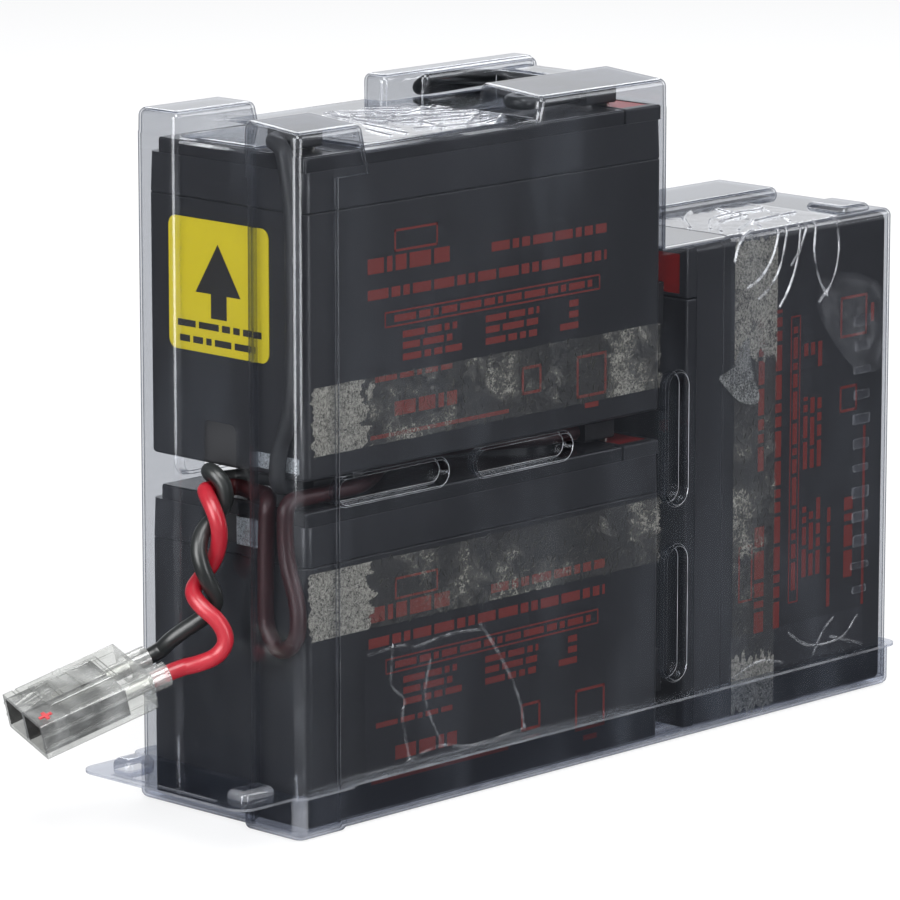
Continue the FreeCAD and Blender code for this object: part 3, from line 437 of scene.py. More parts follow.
def tape_fibres(material, density, seed):
    """A tree that strews short bowed fibres over a sheet, thickest where its attribute loose is high."""
    tree = Growth("strewn_fibres")
    base = tree.size("Density", density)
    extra = tree.size("Loose density", density * 3.0)
    length, width = tree.size("Fibre length", 0.0020), tree.size("Fibre width", 0.00013)
    bow = tree.size("Fibre bow", 0.0003)
    draw = tree.size("Seed", seed, "NodeSocketInt")
    torn = tree.node("GeometryNodeInputNamedAttribute", {"data_type": "FLOAT"}, {"Name": "loose"})
    more = tree.node("ShaderNodeMath", {"operation": "MULTIPLY_ADD"}, {
        0: torn["Attribute"], 1: extra, 2: base})[0]
    dots = tree.node("GeometryNodeDistributePointsOnFaces", {"distribute_method": "RANDOM"}, {
        "Mesh": tree.start[0], "Density": more, "Seed": draw})
    line = tree.node("GeometryNodeMeshLine", {"mode": "OFFSET"}, {
        "Count": FIBRE_CORNERS, "Offset": (0.0, 0.0, 0.0)})[0]
    share = Level(tree, tree.node("GeometryNodeInputIndex")[0]) * (1.0 / (FIBRE_CORNERS - 1))
    rise = (share * math.pi).sine() * bow
    place = tree.node("ShaderNodeCombineXYZ", {}, {"X": (share - 0.5) * length, "Y": rise})[0]
    laid = tree.node("GeometryNodeSetPosition", {}, {"Geometry": line, "Position": place})[0]
    path = tree.node("GeometryNodeMeshToCurve", {}, {0: laid})[0]
    edge = tree.node("GeometryNodeCurvePrimitiveLine", {"mode": "POINTS"}, {
        "Start": (0.0, -0.5, 0.0), "End": (0.0, 0.5, 0.0)})[0]
    scale = tree.node("ShaderNodeCombineXYZ", {}, {"X": width, "Y": width, "Z": width})[0]
    thin = tree.node("GeometryNodeTransform", {}, {"Geometry": edge, "Scale": scale})[0]
    fibre = tree.node("GeometryNodeCurveToMesh", {}, {"Curve": path, "Profile Curve": thin})[0]
    turn = tree.node("FunctionNodeRandomValue", {"data_type": "FLOAT_VECTOR"}, {
        "Min": (0.0, 0.0, 0.0), "Max": (FIBRE_TILT, FIBRE_TILT, math.tau), "Seed": draw})[0]
    aim = tree.node("FunctionNodeRotateRotation", {"rotation_space": "LOCAL"}, {
        "Rotation": dots["Rotation"], "Rotate By": turn})[0]
    strewn = tree.node("GeometryNodeInstanceOnPoints", {}, {
        "Points": dots["Points"], "Instance": fibre, "Rotation": aim})[0]
    tree.finish(strewn, material)
    return tree


def raised_marks(material, count, pitch, seed):
    """A tree that repeats a plain raised bar in a column."""
    tree = Growth("raised_marks")
    number = tree.size("Count", count, "NodeSocketInt")
    step = tree.size("Pitch", pitch)
    draw = tree.size("Seed", seed, "NodeSocketInt")
    offset = tree.node("ShaderNodeCombineXYZ", {}, {"Z": step})[0]
    line = tree.node("GeometryNodeMeshLine", {"mode": "OFFSET"}, {"Count": number, "Offset": offset})[0]
    size = tree.node("FunctionNodeRandomValue", {"data_type": "FLOAT_VECTOR"}, {
        "Min": (0.75, 1.0, 0.55), "Max": (1.05, 1.0, 1.0), "Seed": draw})[0]
    repeated = tree.node("GeometryNodeInstanceOnPoints", {}, {
        "Points": line, "Instance": tree.start[0], "Scale": size})[0]
    tree.finish(repeated, material)
    return tree


# Settings

def number_setting(name, description, default, largest, **kind):
    """A number from 0 to the largest that a user would set."""
    return bpy.props.FloatProperty(name=name, description=description, default=default, min=0.0, max=largest,
                                   **kind)


def length_setting(name, description, default, largest):
    """A length in metres."""
    return number_setting(name, description, default, largest, subtype="DISTANCE", unit="LENGTH")


def power_setting(name, description, default):
    """The power of a lamp in watts."""
    return number_setting(name, description, default, 1000.0, unit="POWER")


def colour_setting(name, description, default):
    """A colour with its alpha."""
    return bpy.props.FloatVectorProperty(name=name, description=description, default=default, size=4,
                                         subtype="COLOR", min=0.0, max=1.0)


class FilmSettings(bpy.types.PropertyGroup):
    """The clear hood, tray and raised marks"""
    haze: number_setting("Haze", "Share of the film's surface that scatters light", 0.020, 0.5)
    # Glint sets the strength of the painted highlight along the film's bends.
    glint: number_setting("Glint", "How pale the film is along its bends", 0.42, 1.0)
    marks: bpy.props.IntProperty(
        name="Raised marks", description="Number of raised bars at the right", default=12, min=2, max=40)
    edge_width: length_setting("Edge width", "Width of the rounding on the film's edges", 0.0003, 0.002)
    shine: number_setting("Shine roughness", "Roughness of the film's reflections", 0.06, 1.0)


class BatterySettings(bpy.types.PropertyGroup):
    """The cases and their print"""
    case_colour: colour_setting("Case colour", "Charcoal of the cases", (0.031, 0.0315, 0.034, 1.0))
    print_colour: colour_setting("Print colour", "Dull red of the printed fields", (0.25, 0.030, 0.020, 1.0))
    edge_round: length_setting("Edge rounding", "Width of the rounding on cases and lids", 0.0004, 0.002)


class LeadSettings(bpy.types.PropertyGroup):
    """The red and black leads"""
    diameter: length_setting("Lead diameter", "Outside diameter of the two free leads", 0.0049, 0.02)
    red: colour_setting("Red", "Red insulation", (0.35, 0.009, 0.020, 1.0))
    black: colour_setting("Black", "Black insulation", (0.012, 0.014, 0.014, 1.0))


class StageSettings(bpy.types.PropertyGroup):
    """The studio lights"""
    key_power: power_setting("Key power", "Power of the large soft light", 31.0)
    card_power: power_setting("Card power", "Power of each bright card beside the camera", 4.0)
    sweep_power: power_setting("Sweep power", "Power of the pale sweep behind the pack", 7.0)


# Stage

EYE = (-1.2454, -1.1708, 0.4388)
AHEAD = Vector((0.7041, 0.6814, -0.1998))
FLOOR_WIDTH, FLOOR_HEIGHT = 12.0, -0.0002
# What a reflection sees of the studio.
DUSK = (0.11, 0.115, 0.13, 1.0)
# Each soft light's place, width and share of the key's power.
LIGHTS = (
    ("key_light", (-0.7, -0.9, 1.6), 1.1, 1.0),
    ("fill_light", (1.4, -1.0, 0.9), 0.9, 0.3),
    ("back_light", (0.9, 0.9, 1.2), 1.0, 0.5),
    ("left_fill", (-1.7, 0.15, 0.7), 1.0, 0.42),
)
# Each reflected card's place, the height that it faces, its width and height, and its setting.
CARDS = (
    ("left_card", (-0.62, -0.10, 0.16), 0.12, (0.30, 0.7), "card_power"),
    ("right_card", (-0.02, -0.62, 0.16), 0.12, (0.30, 0.7), "card_power"),
    ("sweep", (0.95, 0.92, 0.45), 0.15, (2.4, 0.9), "sweep_power"),
)


def soft_light(name, place, target, size, energy, card=False):
    """A soft lamp. A card shows in reflections and lights no matt surface."""
    lamp = bpy.data.lights.new(name, "AREA")
    lamp.shape = "RECTANGLE"
    lamp.size, lamp.size_y = size
    lamp.energy = energy
    item = new_object(name, lamp)
    item.location = place
    item.rotation_euler = (Vector(target) - Vector(place)).to_track_quat("-Z", "Y").to_euler()
    item.visible_camera = False
    item.visible_diffuse = not card


def make_camera(scene):
    """The camera, with a long lens."""
    lens = bpy.data.cameras.new("camera")
    lens.lens = 228.7
    lens.sensor_width = 36.0
    lens.clip_start, lens.clip_end = 0.1, 50.0
    camera = new_object("camera", lens)
    camera.location = EYE
    camera.rotation_euler = AHEAD.to_track_quat("-Z", "Y").to_euler()
    scene.camera = camera


def make_floor():
    """A pale floor that the camera sees nearly white, and reflections see dusky."""
    half = FLOOR_WIDTH / 2
    mesh = plain_mesh("floor", [(x, y, FLOOR_HEIGHT) for x, y in (
        (-half, -half), (half, -half), (half, half), (-half, half))], [(0, 1, 2, 3)])
    ground = Finish("pale_floor")
    paper = ground.coat(base_color=(0.86, 0.86, 0.87, 1.0), roughness=0.9)
    glow, dusk = (ground.node("ShaderNodeEmission", {}, {"Color": tone, "Strength": 1.0})[0]
                  for tone in ((1.0, 1.0, 1.0, 1.0), DUSK))
    rays = ground.node("ShaderNodeLightPath")
    seen = Level(ground, rays["Is Camera Ray"]) * 0.78
    matt = ground.over(rays["Is Glossy Ray"], paper, dusk)
    mesh.materials.append(ground.done(ground.over(seen, matt, glow)))
    new_object("floor", mesh)


def make_world(scene):
    """A soft pale surrounding, dusky in reflections."""
    world = bpy.data.worlds.new("studio")
    world.use_nodes = True
    world.node_tree.nodes.clear()
    sky = Tree(world.node_tree)
    soft, dusk, bright = (
        sky.node("ShaderNodeBackground", {}, {"Color": tone, "Strength": strength})[0]
        for tone, strength in (((0.92, 0.95, 1.0, 1.0), 0.60), (DUSK, 1.0), ((0.8, 0.8, 0.8, 1.0), 1.0)))
    rays = sky.node("ShaderNodeLightPath")
    whole = sky.over(rays["Is Camera Ray"], sky.over(rays["Is Glossy Ray"], soft, dusk), bright)
    sky.node("ShaderNodeOutputWorld", {}, {"Surface": whole})
    scene.world = world


class CARTRIDGE_OT_stage(bpy.types.Operator):
    """Make the camera, the pale floor and the studio lights"""
    bl_idname = "cartridge.stage"
    bl_label = "Stage"

    def execute(self, context):
        settings = context.scene.cartridge_stage
        make_camera(context.scene)
        make_floor()
        make_world(context.scene)
        for name, place, size, share in LIGHTS:
            soft_light(name, place, (0.0, 0.0, 0.1), (size, size), settings.key_power * share)
        for name, place, height, size, setting in CARDS:
            soft_light(name, place, (0.0, 0.0, height), size, getattr(settings, setting), card=True)
        context.scene.view_settings.view_transform = "Standard"
        context.scene.cycles.transparent_max_bounces = 40
        return {"FINISHED"}


# Shell and batteries

# The pockets pressed into the film, each from first to last x and z in pack coordinates.
POCKETS = (
    (12.4, 56.5, 96.1, 102.4), (69.6, 109.6, 96.1, 102.6),
    (153.7, 161.5, 74.4, 114.1), (153.7, 161.5, 19.4, 60.0),
)
POCKET_MARGIN = 2.0
PRESSES = [(at(x0 - POCKET_MARGIN, 0.0, z0 - POCKET_MARGIN), at(x1 + POCKET_MARGIN, 0.0, z1 + POCKET_MARGIN))
           for x0, x1, z0, z1 in POCKETS]
# A flat region whose area over its length is less than this, in metres, is part of a rounding.
STRIP_WIDTH = 0.0011
# The attribute bend, and the rounding's width over the one set, at a pocket's rim and elsewhere.
POCKET_RIM = (2.3, 2.0)
PLAIN_EDGE = (0.9, 1.0)


def softened(node, name, material, edge_width):
    """A copy of a moulded node with its sharp edges rounded."""
    made = merged_copy(node)
    bmesh.ops.dissolve_limit(made, angle_limit=0.002, verts=made.verts[:], edges=made.edges[:])
    round_edges(made, sharp_edges(made, angle=0.6), edge_width)
    stand_for(node, edited_mesh(name, made), name, material)


def in_pocket(place):
    """Whether a point lies in or beside a pressed pocket."""
    return any(low.x < place.x < high.x and low.z < place.z < high.z for low, high in PRESSES)


def flat_regions(made):
    """The number of each face's flat region, and the faces of each region."""
    flat = math.radians(0.3)
    region = [-1] * len(made.faces)
    regions = []
    for face in made.faces:
        if region[face.index] >= 0:
            continue
        region[face.index] = len(regions)
        stack, found = [face], []
        while stack:
            here = stack.pop()
            found.append(here)
            joins = [edge for edge in here.edges
                     if len(edge.link_faces) == 2 and edge.calc_face_angle(9.0) < flat]
            for other in [face for edge in joins for face in edge.link_faces]:
                if region[other.index] < 0:
                    region[other.index] = len(regions)
                    stack.append(other)
        regions.append(found)
    return region, regions


def is_strip(faces):
    """Whether a flat region is a narrow strip of a rounding, away from the pockets."""
    corners = [vert.co for face in faces for vert in face.verts]
    reach = max((corners[0] - corner).length for corner in corners)
    area = sum(face.calc_area() for face in faces)
    return area / max(reach, 1e-6) < STRIP_WIDTH and not in_pocket(corners[0])


def marked_film(node, name, material, edge_width, strip_painted_light):
    """A copy of a film node with its sharp edges rounded and the attribute bend on every bend."""
    made = merged_copy(node)
    made.faces.ensure_lookup_table()
    region, regions = flat_regions(made)
    strips = [is_strip(faces) for faces in regions]
    bend = made.faces.layers.float.new("bend")
    for face in made.faces:
        face[bend] = strip_painted_light if strips[region[face.index]] else 0.0
    sharp = [edge for edge in sharp_edges(made, angle=0.5)
             if not any(strips[region[face.index]] for face in edge.link_faces)]
    rims = [edge for edge in sharp if in_pocket(edge.verts[0].co)]
    plain = [edge for edge in sharp if not in_pocket(edge.verts[0].co)]
    for edges, (value, share) in ((rims, POCKET_RIM), (plain, PLAIN_EDGE)):
        edges = [edge for edge in edges if edge.is_valid]
        for face in round_edges(made, edges, edge_width * share):
            face[bend] = value
    stand_for(node, edited_mesh(name, made), name, material)


class CARTRIDGE_OT_film(bpy.types.Operator):
    """Finish the clear hood and the clear tray"""
    bl_idname = "cartridge.film"
    bl_label = "Clear film"

    def execute(self, context):
        settings = context.scene.cartridge_film
        # The tray's haze, 1.6 times the hood's, is partly painted reflection on its lower wall; its strips
        # carry more painted highlight.
        for node, tint, edge_tint, haze, bend in (
                ("hood", (0.845, 0.852, 0.865, 1.0), (0.25, 0.272, 0.325, 1.0), 1.0, 0.05),
                ("tray", (0.84, 0.85, 0.875, 1.0), (0.60, 0.62, 0.68, 1.0), 1.6, 0.40)):
            film = clear_film(node + "_film", tint, edge_tint, settings.haze * haze, settings.shine,
                              settings.glint)
            marked_film(node, node + "_piece", film, settings.edge_width, bend)
        return {"FINISHED"}


class CARTRIDGE_OT_batteries(bpy.types.Operator):
    """Finish the three sealed batteries and their terminals"""
    bl_idname = "cartridge.batteries"
    bl_label = "Batteries"

    def execute(self, context):
        settings = context.scene.cartridge_battery
        charcoal = tuple(settings.case_colour)
        case = battery_plastic("case_plastic", charcoal, roughness=0.34, grain=0.28)
        lid = battery_plastic("lid_plastic", shaded(charcoal, 1.1), roughness=0.30, grain=0.22)
        cover = battery_plastic("cover_plastic", shaded(charcoal, 0.9), roughness=0.20, grain=0.12)
        red = moulded("terminal_red", (0.42, 0.015, 0.012, 1.0))
        black = moulded("terminal_black", (0.012, 0.012, 0.012, 1.0))
        boot = moulded("sleeve_black", (0.018, 0.018, 0.020, 1.0), 0.5)
        tin = plated("tab_tin", (0.72, 0.70, 0.64, 1.0))
        for side in SIDES:
            softened(side + "_battery_case", side + "_case_piece", case, settings.edge_round)
            softened(side + "_battery_lid", side + "_lid_piece", lid, settings.edge_round)
            paint([side + "_vent_cover"], cover)
            for pole, base in (("positive", red), ("negative", black)):
                for piece, finish in (("base", base), ("tab", tin), ("sleeve", boot)):
                    paint([side + "_" + pole + "_" + piece], finish)
        return {"FINISHED"}


# Tapes and label

def on_battery(side, x, z, lift):
    """A point on a battery's printed face, from the battery's own length and height."""
    if side == "right":
        return at(256.5 - z, -lift, 1.5 + x)
    return at(x, -lift, z + (104.0 if side == "upper" else 1.5))


def words(first, last, low, high, seed):
    """Blocks of uneven length in a row, which stand for a printed line."""
    blocks, x, count = [], first, 0
    while x < last - 1.0:
        width = 2.0 + 7.0 * (0.5 + 0.5 * math.sin(seed * 12.9 + count * 4.7))
        end = min(x + width, last)
        blocks.append((x, end, low, high))
        x, count = end + 1.3, count + 1
    return blocks


def frame_bars(x0, x1, z0, z1, line):
    """The four sides of a printed box."""
    return [(x0, x1, z0, z0 + line), (x0, x1, z1 - line, z1),
            (x0, x0 + line, z0, z1), (x1 - line, x1, z0, z1)]


# Printed lines and boxes, from first to last x and low to high z. A line adds its seed, a box its bars' width.
PRINT_LINES = (
    (25.1, 61, 57, 61.5, 1), (76.5, 126.2, 57.6, 60.4, 2), (25.1, 126.3, 49.4, 52.4, 3),
    (36, 120, 41.9, 44, 4), (39.4, 62, 36.9, 38.9, 5), (74, 97, 36.9, 38.9, 6), (110, 114, 36.9, 38.9, 7),
    (39.4, 60, 33.6, 35.6, 8), (74, 97, 33.6, 35.6, 9), (110, 114, 33.6, 35.6, 1), (39.4, 64, 30.2, 32.2, 2),
    (74, 96, 30.2, 32.2, 3), (106, 114, 30.2, 32.2, 4), (28, 60, 25.2, 26.8, 5), (36, 62, 14.4, 18.6, 6),
)
PRINT_BOXES = (
    (36, 54, 62.4, 69, 0.7), (32, 123.5, 40.6, 45.3, 0.5), (89.5, 98, 13, 21.5, 0.9),
    (113.3, 126.5, 8.6, 21.6, 0.9),
)
PRINT = [(117, 123, 5.2, 6.8), (26, 84, 8.6, 9.8)]
PRINT += [block for line in PRINT_LINES for block in words(*line)]
PRINT += [bar for box in PRINT_BOXES for bar in frame_bars(*box)]
PRINT_LIFT = 0.03
# The label's printed face, in x, and what is on it: two lines of print and an arrow, in y and z.
LABEL_FACE = -0.28
LABEL_LINES = words(17.5, 54.0, 143.4, 145.4, 2) + words(20.0, 51.5, 138.9, 140.9, 6)
ARROW = [(35.4, 168.8), (44.8, 154.0), (38.4, 154.0), (38.4, 146.9), (31.8, 146.9), (31.8, 154.0),
         (26.0, 154.0)]
# Each strip's first and last x and z, seed and whether it runs upwards, and its loose stretches,
# each from first to last share of its length, with how loose it is.
STRIPS = (
    ("upper_front_tape", (2.6, 150.6), (111.0, 131.0), 1.0, False,
     ((-0.1, 0.15, 1.0), (0.16, 0.62, 0.10), (0.84, 1.1, 0.18))),
    ("lower_front_tape", (1.0, 150.8), (57.0, 77.0), 5.0, False,
     ((-0.1, 0.17, 1.0), (0.30, 0.62, 0.12), (0.90, 1.1, 0.2))),
    ("right_front_tape", (2.6, 151.2), (184.5, 204.5), 9.0, True,
     ((-0.1, 0.12, 0.5), (0.32, 0.5, 0.15), (0.74, 1.1, 0.42))),
)


def torn_strip(name, x_range, z_range, seed, upright, loose_stretches):
    """A strip of tape with torn ends. The attribute loose is 1 where it has come away."""
    across, along = 170, 24
    fade = 0.012

    def reach(v, turn):
        rough = noise.fractal(Vector((v * 9.0, seed + turn, turn)), 0.8, 2.2, 5) * 2.4
        saw = (abs((v * 17.0 + seed) % 1.0 - 0.5) - 0.25) * 1.8
        return max(rough + saw, -1.2)

    def point(u, v):
        left, right = x_range[0] + reach(v, 0.0), x_range[1] - reach(v, 5.0)
        run = left + (right - left) * u
        wave = noise.noise(Vector((u * 16.0, seed + 3.0, v))) * 0.18
        height = z_range[0] + (z_range[1] - z_range[0]) * v + wave
        lift = 0.16 + 0.05 * noise.noise(Vector((u * 30.0, v * 8.0, seed)))
        return at(height, -lift, run) if upright else at(run, -lift, height)

    def looseness(u, v):
        ragged = 0.035 * noise.noise(Vector((u * 40.0, v * 9.0, seed)))
        loose = 0.0
        for first, last, strength in loose_stretches:
            inside = min((u + ragged - first) / fade, (last - u - ragged) / fade, 1.0)
            loose = max(loose, strength * max(inside, 0.0))
        return loose

    mesh = sheet_mesh(name, point, across, along)
    mark(mesh, "loose", "POINT",
         [looseness(i / across, j / along) for j in range(along + 1) for i in range(across + 1)])
    return mesh


def flat_shape(name, outline):
    """One flat face with the given corners."""
    return plain_mesh(name, outline, [list(range(len(outline)))])


class CARTRIDGE_OT_tapes(bpy.types.Operator):
    """Finish the strips and patches of fibrous tape, the printed fields and the label"""
    bl_idname = "cartridge.tapes"
    bl_label = "Tapes and print"

    def execute(self, context):
        strip = fibrous_tape("fibre_tape", (0.62, 0.59, 0.50, 1.0), thin=0.085, loose=0.58)
        patch = fibrous_tape("grey_patch", (0.52, 0.55, 0.56, 1.0), thin=0.5, loose=0.22)
        lint = moulded("loose_fibres", (0.19, 0.18, 0.15, 1.0), 0.8)
        fibres = tape_fibres(lint, density=120000.0, seed=11)
        for name, *shape in STRIPS:
            mesh = torn_strip(name + "_piece", *shape)
            stand_for(name, mesh, name + "_piece", strip)
            show(fibres.grow(mesh.copy(), name + "_fibres"), name + "_fibres")
        paint(["lower_end_patch", "upper_end_patch"], patch)
        ink = moulded("print_red", tuple(context.scene.cartridge_battery.print_colour), 0.5)
        for side in SIDES:
            name = side + "_print"
            show(block_sheet(name, PRINT, lambda x, z: on_battery(side, x, z, PRINT_LIFT)), name, ink)
        paint(["orientation_label"], paper_label("label_yellow", (0.95, 0.76, 0.004, 1.0)))
        dark = moulded("label_ink", (0.035, 0.033, 0.030, 1.0), 0.5)
        lines = [(low, high, first, last) for first, last, low, high in LABEL_LINES]
        show(block_sheet("label_lines", lines, lambda z, y: at(LABEL_FACE, y, z)), "label_lines", dark)
        show(flat_shape("up_arrow", [at(LABEL_FACE, y, z) for y, z in ARROW]), "up_arrow", dark)
        return {"FINISHED"}


# Creased clear tapes

# Each crease on a sheet, in millimetres: its width, how high it stands, and x and y of each of its points.
TOP_CREASES = (
    (0.9, 0.75, 62.5, 48.8, 74.1, 40, 91.3, 31.5), (0.8, 0.8, 56.4, 49, 60.9, 33.8, 81, 25.1, 92, 21),
    (0.7, 0.8, 57, 46.5, 55.1, 28, 66.6, 22.2, 92, 15), (0.7, 0.6, 50.8, 26.6, 46.6, 5.3),
    (0.7, 0.6, 44.1, 19.1, 40.5, 5.8), (0.9, 0.7, 66.6, 22.2, 62.8, 5.8), (0.8, 0.8, 69.3, 40, 86.1, 11.2),
    (0.9, 0.6, 71.7, 48.5, 91.1, 33.6), (0.8, 0.7, 55.3, 10.6, 74, 5, 91, 9),
    (0.9, 0.5, 30, 30, 44, 40, 58, 48), (0.7, 0.6, 34, 14, 48, 30, 62, 42),
    (0.7, 0.7, 72, 5, 84, 14, 92, 18), (0.7, 0.6, 78, 3, 88, 7, 92, 12),
    (0.6, 0.6, 60, 20, 76, 14, 92, 13.5), (0.8, 0.6, 52, 14, 60, 26, 72, 33, 92, 36),
)
FLAP_CREASES = (
    (0.5, 0.5, 203.5, 154.4, 200.5, 145.6, 195, 139.6, 188.8, 137),
    (0.45, 0.5, 207.3, 154.4, 204.4, 143, 199.5, 136.2, 194, 132.9),
    (0.45, 0.5, 213.4, 155, 212.2, 143.8, 208.4, 135, 203.9, 129.2),
    (0.4, 0.45, 217, 155, 213.6, 147, 209, 141.5),
    (0.45, 0.5, 221, 155, 220, 144.7, 222.5, 135.4, 226.5, 130),
    (0.45, 0.5, 230.1, 155, 231.8, 144, 229, 134.4, 222.5, 128.4),
    (0.6, 0.5, 182.6, 145.9, 185.7, 152.3, 194.1, 156), (0.8, 0.7, 184, 160, 196, 172, 214, 176),
    (0.8, 0.7, 190, 158, 206, 166, 228, 168), (0.8, 0.7, 183, 172, 194, 184, 206, 192),
    (0.7, 0.6, 200, 158, 210, 174, 216, 190), (0.7, 0.6, 214, 158, 222, 172, 230, 186),
    (0.7, 0.6, 186, 166, 204, 180, 226, 180),
)
FOOT_CREASES = (
    (0.45, 0.5, 33.7, 51.3, 32.8, 39.5, 38.2, 33.8, 37.4, 27.9, 40.7, 14),
    (0.5, 0.6, 70.2, 51, 78.8, 39.9, 86.7, 26, 89.8, 14.4), (0.4, 0.35, 42.4, 48.9, 57.5, 50.3, 71.1, 49.5),
    (0.4, 0.3, 23.4, 49.8, 36.6, 50.5, 42.4, 48.9),
    (0.4, 0.35, 38.6, 15.1, 53.3, 17.3, 66.1, 14.9, 88.5, 15.9),
    (0.4, 0.3, 49.1, 43.9, 47, 32.2, 53.3, 18.9),
)
CORNER_CREASES = (
    (0.45, 0.5, 209.9, 24.5, 220.1, 18.8, 235.1, 18.8, 242.9, 24.7), (0.45, 0.5, 230.3, 20, 245.1, 15.3),
    (0.4, 0.4, 184.5, 15, 196.3, 17.9, 206.8, 15.6), (0.4, 0.4, 222, 16, 226, 22, 231, 26),
)
# Outlines on the front, in x and z.
SMOKE = [(222.8, 135.3), (237.2, 136.1), (252.9, 129.6), (256.8, 114.8), (253.1, 104.1), (242.9, 103.5),
         (230.5, 113.7), (222.1, 125.9)]
BUBBLE = [(190.9, 121.2), (187.7, 119.4), (183.2, 112.8), (177.2, 110.5), (180.0, 107.0), (186.6, 101.7),
          (194.1, 99.7), (196.0, 102.6), (192.5, 110.9)]
# The tape's face on the low top, its face on the front, and the top edge that it folds over.
TOP_FACE = 199.1
FRONT_FACE = -1.56
FOLD_START = 151.6
FOLD_RADIUS = 2.5
FOLD_CENTRE = 0.9


def on_top(x, y, lift):
    """A place on the low block's top film."""
    return at(x, y, TOP_FACE + lift)


def on_foot(x, z, lift):
    """A place on the foot of the front film."""
    return at(x, FRONT_FACE - lift * 0.8, z)


def over_the_edge(x, run, lift):
    """A place on the front film, on the fold above it or on the top behind, at a length along the sheet."""
    if run < FOLD_START:
        return at(x, FRONT_FACE - lift, run)
    turn = (run - FOLD_START) / FOLD_RADIUS
    if turn < math.pi / 2:
        reach = FOLD_RADIUS + lift
        return at(x, FOLD_CENTRE - reach * math.cos(turn), FOLD_START + reach * math.sin(turn))
    return at(x, FOLD_CENTRE + (turn - math.pi / 2) * FOLD_RADIUS, FOLD_START + FOLD_RADIUS + lift)


# Each tape's first and last x and y, its face, creases, grid, seed, slack and its creases' painted highlight.
CLEAR_TAPES = (
    ("left_top_tape", (26, 92.5), (0.9, 49.5), on_top, TOP_CREASES, (230, 170), 2.0, 0.05, 0.42),
    ("right_top_tape", (181, 232.5), (108, 195), over_the_edge, FLAP_CREASES, (180, 260), 6.0, 0.05, 0.6),
    ("left_foot_tape", (22, 91.5), (14.2, 51.5), on_foot, FOOT_CREASES, (200, 120), 3.0, 0.02, 0.28),
    ("right_foot_tape", (182, 246), (14.2, 27.5), on_foot, CORNER_CREASES, (200, 120), 8.0, 0.02, 0.28),
)


def smooth_run(points, steps=5):
    """Points on a smooth curve through the given ones."""
    line = [points[0]] + list(points) + [points[-1]]
    run = []
    for before, first, last, after in zip(line, line[1:], line[2:], line[3:]):
        for step in range(steps):
            t = step / steps
            run.append(tuple(0.5 * (2 * b + (c - a) * t + (2 * a - 5 * b + 4 * c - d) * t ** 2
                                    + (3 * b - a - 3 * c + d) * t ** 3)
                             for a, b, c, d in zip(before, first, last, after)))
    return run + [points[-1]]


def crease_height(x, y, creases):
    """How high the creases lift a sheet at a point."""
    height = 0.0
    for points, width, lift in creases:
        nearest = 99.0
        reach = width * 2
        for first, last in zip(points, points[1:]):
            if not (min(first[0], last[0]) - reach < x < max(first[0], last[0]) + reach
                    and min(first[1], last[1]) - reach < y < max(first[1], last[1]) + reach):
                continue
            run = (last[0] - first[0], last[1] - first[1])
            share = ((x - first[0]) * run[0] + (y - first[1]) * run[1]) / (run[0] ** 2 + run[1] ** 2)
            share = min(max(share, 0.0), 1.0)
            nearest = min(nearest, math.hypot(x - first[0] - run[0] * share, y - first[1] - run[1] * share))
        if nearest < reach:
            height += lift * math.exp(-((nearest / width * 1.6) ** 2))
    return height


def creased_tape(name, x_range, y_range, place, creases, grid_size, seed, slack, strength):
    """A clear sheet lifted along its creases. Its attribute bend is highest where it is steep."""
    creases = [(smooth_run(list(zip(line[::2], line[1::2]))), width, lift) for width, lift, *line in creases]
    across, along = grid_size
    step_x, step_y = (x_range[1] - x_range[0]) / across, (y_range[1] - y_range[0]) / along
    grid = []
    for j in range(along + 1):
        row = []
        for i in range(across + 1):
            x = x_range[0] + step_x * i + noise.noise(Vector((j / along * 12.0, seed, 0.3))) * 0.5
            y = y_range[0] + step_y * j + noise.noise(Vector((i / across * 12.0, seed, 0.7))) * 0.5
            loose = slack * (1.0 + noise.noise(Vector((x * 0.25, y * 0.25, seed))))
            row.append((x, y, crease_height(x, y, creases) + loose))
        grid.append(row)
    mesh = sheet_mesh(name, lambda u, v: place(*grid[round(v * along)][round(u * across)]), across, along)
    steep = []
    for j in range(along):
        for i in range(across):
            here = grid[j][i][2]
            slope = math.hypot((grid[j][i + 1][2] - here) / step_x, (grid[j + 1][i][2] - here) / step_y)
            broken = 0.55 + 0.9 * noise.noise(Vector((i / across * 21.0, j / along * 21.0, seed + 4.0)))
            steep.append(min(max((slope - 0.12) / 0.5, 0.0), 1.0) * min(max(broken, 0.05), 1.0) * strength)
    mark(mesh, "bend", "FACE", steep)
    return mesh


def smoke_patch(name):
    """A faint hazy patch where two layers of film have come apart; its greyish haze is a painted sheen."""
    outline = smooth_run(SMOKE + SMOKE[:1])
    middle = (sum(x for x, z in SMOKE) / len(SMOKE), sum(z for x, z in SMOKE) / len(SMOKE))
    rings, around = 14, len(outline)

    def point(u, v):
        x, z = outline[round(v * (around - 1))]
        reach = u * (1.0 + 0.03 * noise.noise(Vector((v * 30.0, u * 4.0, 2.0))))
        return at(middle[0] + (x - middle[0]) * reach, -1.70 - 0.25 * (1.0 - u),
                  middle[1] + (z - middle[1]) * reach)

    def haze(i, j):
        ripple = 0.5 + noise.noise(Vector((i * 0.5, j * 0.3, 7.0)))
        return 0.14 * (1.0 - i / rings) ** 0.5 * max(0.35, min(ripple, 1.0))

    mesh = sheet_mesh(name, point, rings, around - 1)
    mark(mesh, "bend", "FACE", [haze(i, j) for j in range(around - 1) for i in range(rings)])
    return mesh


def bar_mesh(name, low, high, rounding):
    """A block between two corners, with its edges taken off."""
    made = bmesh.new()
    bmesh.ops.create_cube(made, size=1.0, matrix=Matrix.LocRotScale((low + high) / 2, None, high - low))
    bmesh.ops.bevel(made, geom=made.edges[:], offset=rounding, segments=2, affect="EDGES")
    return edited_mesh(name, made)


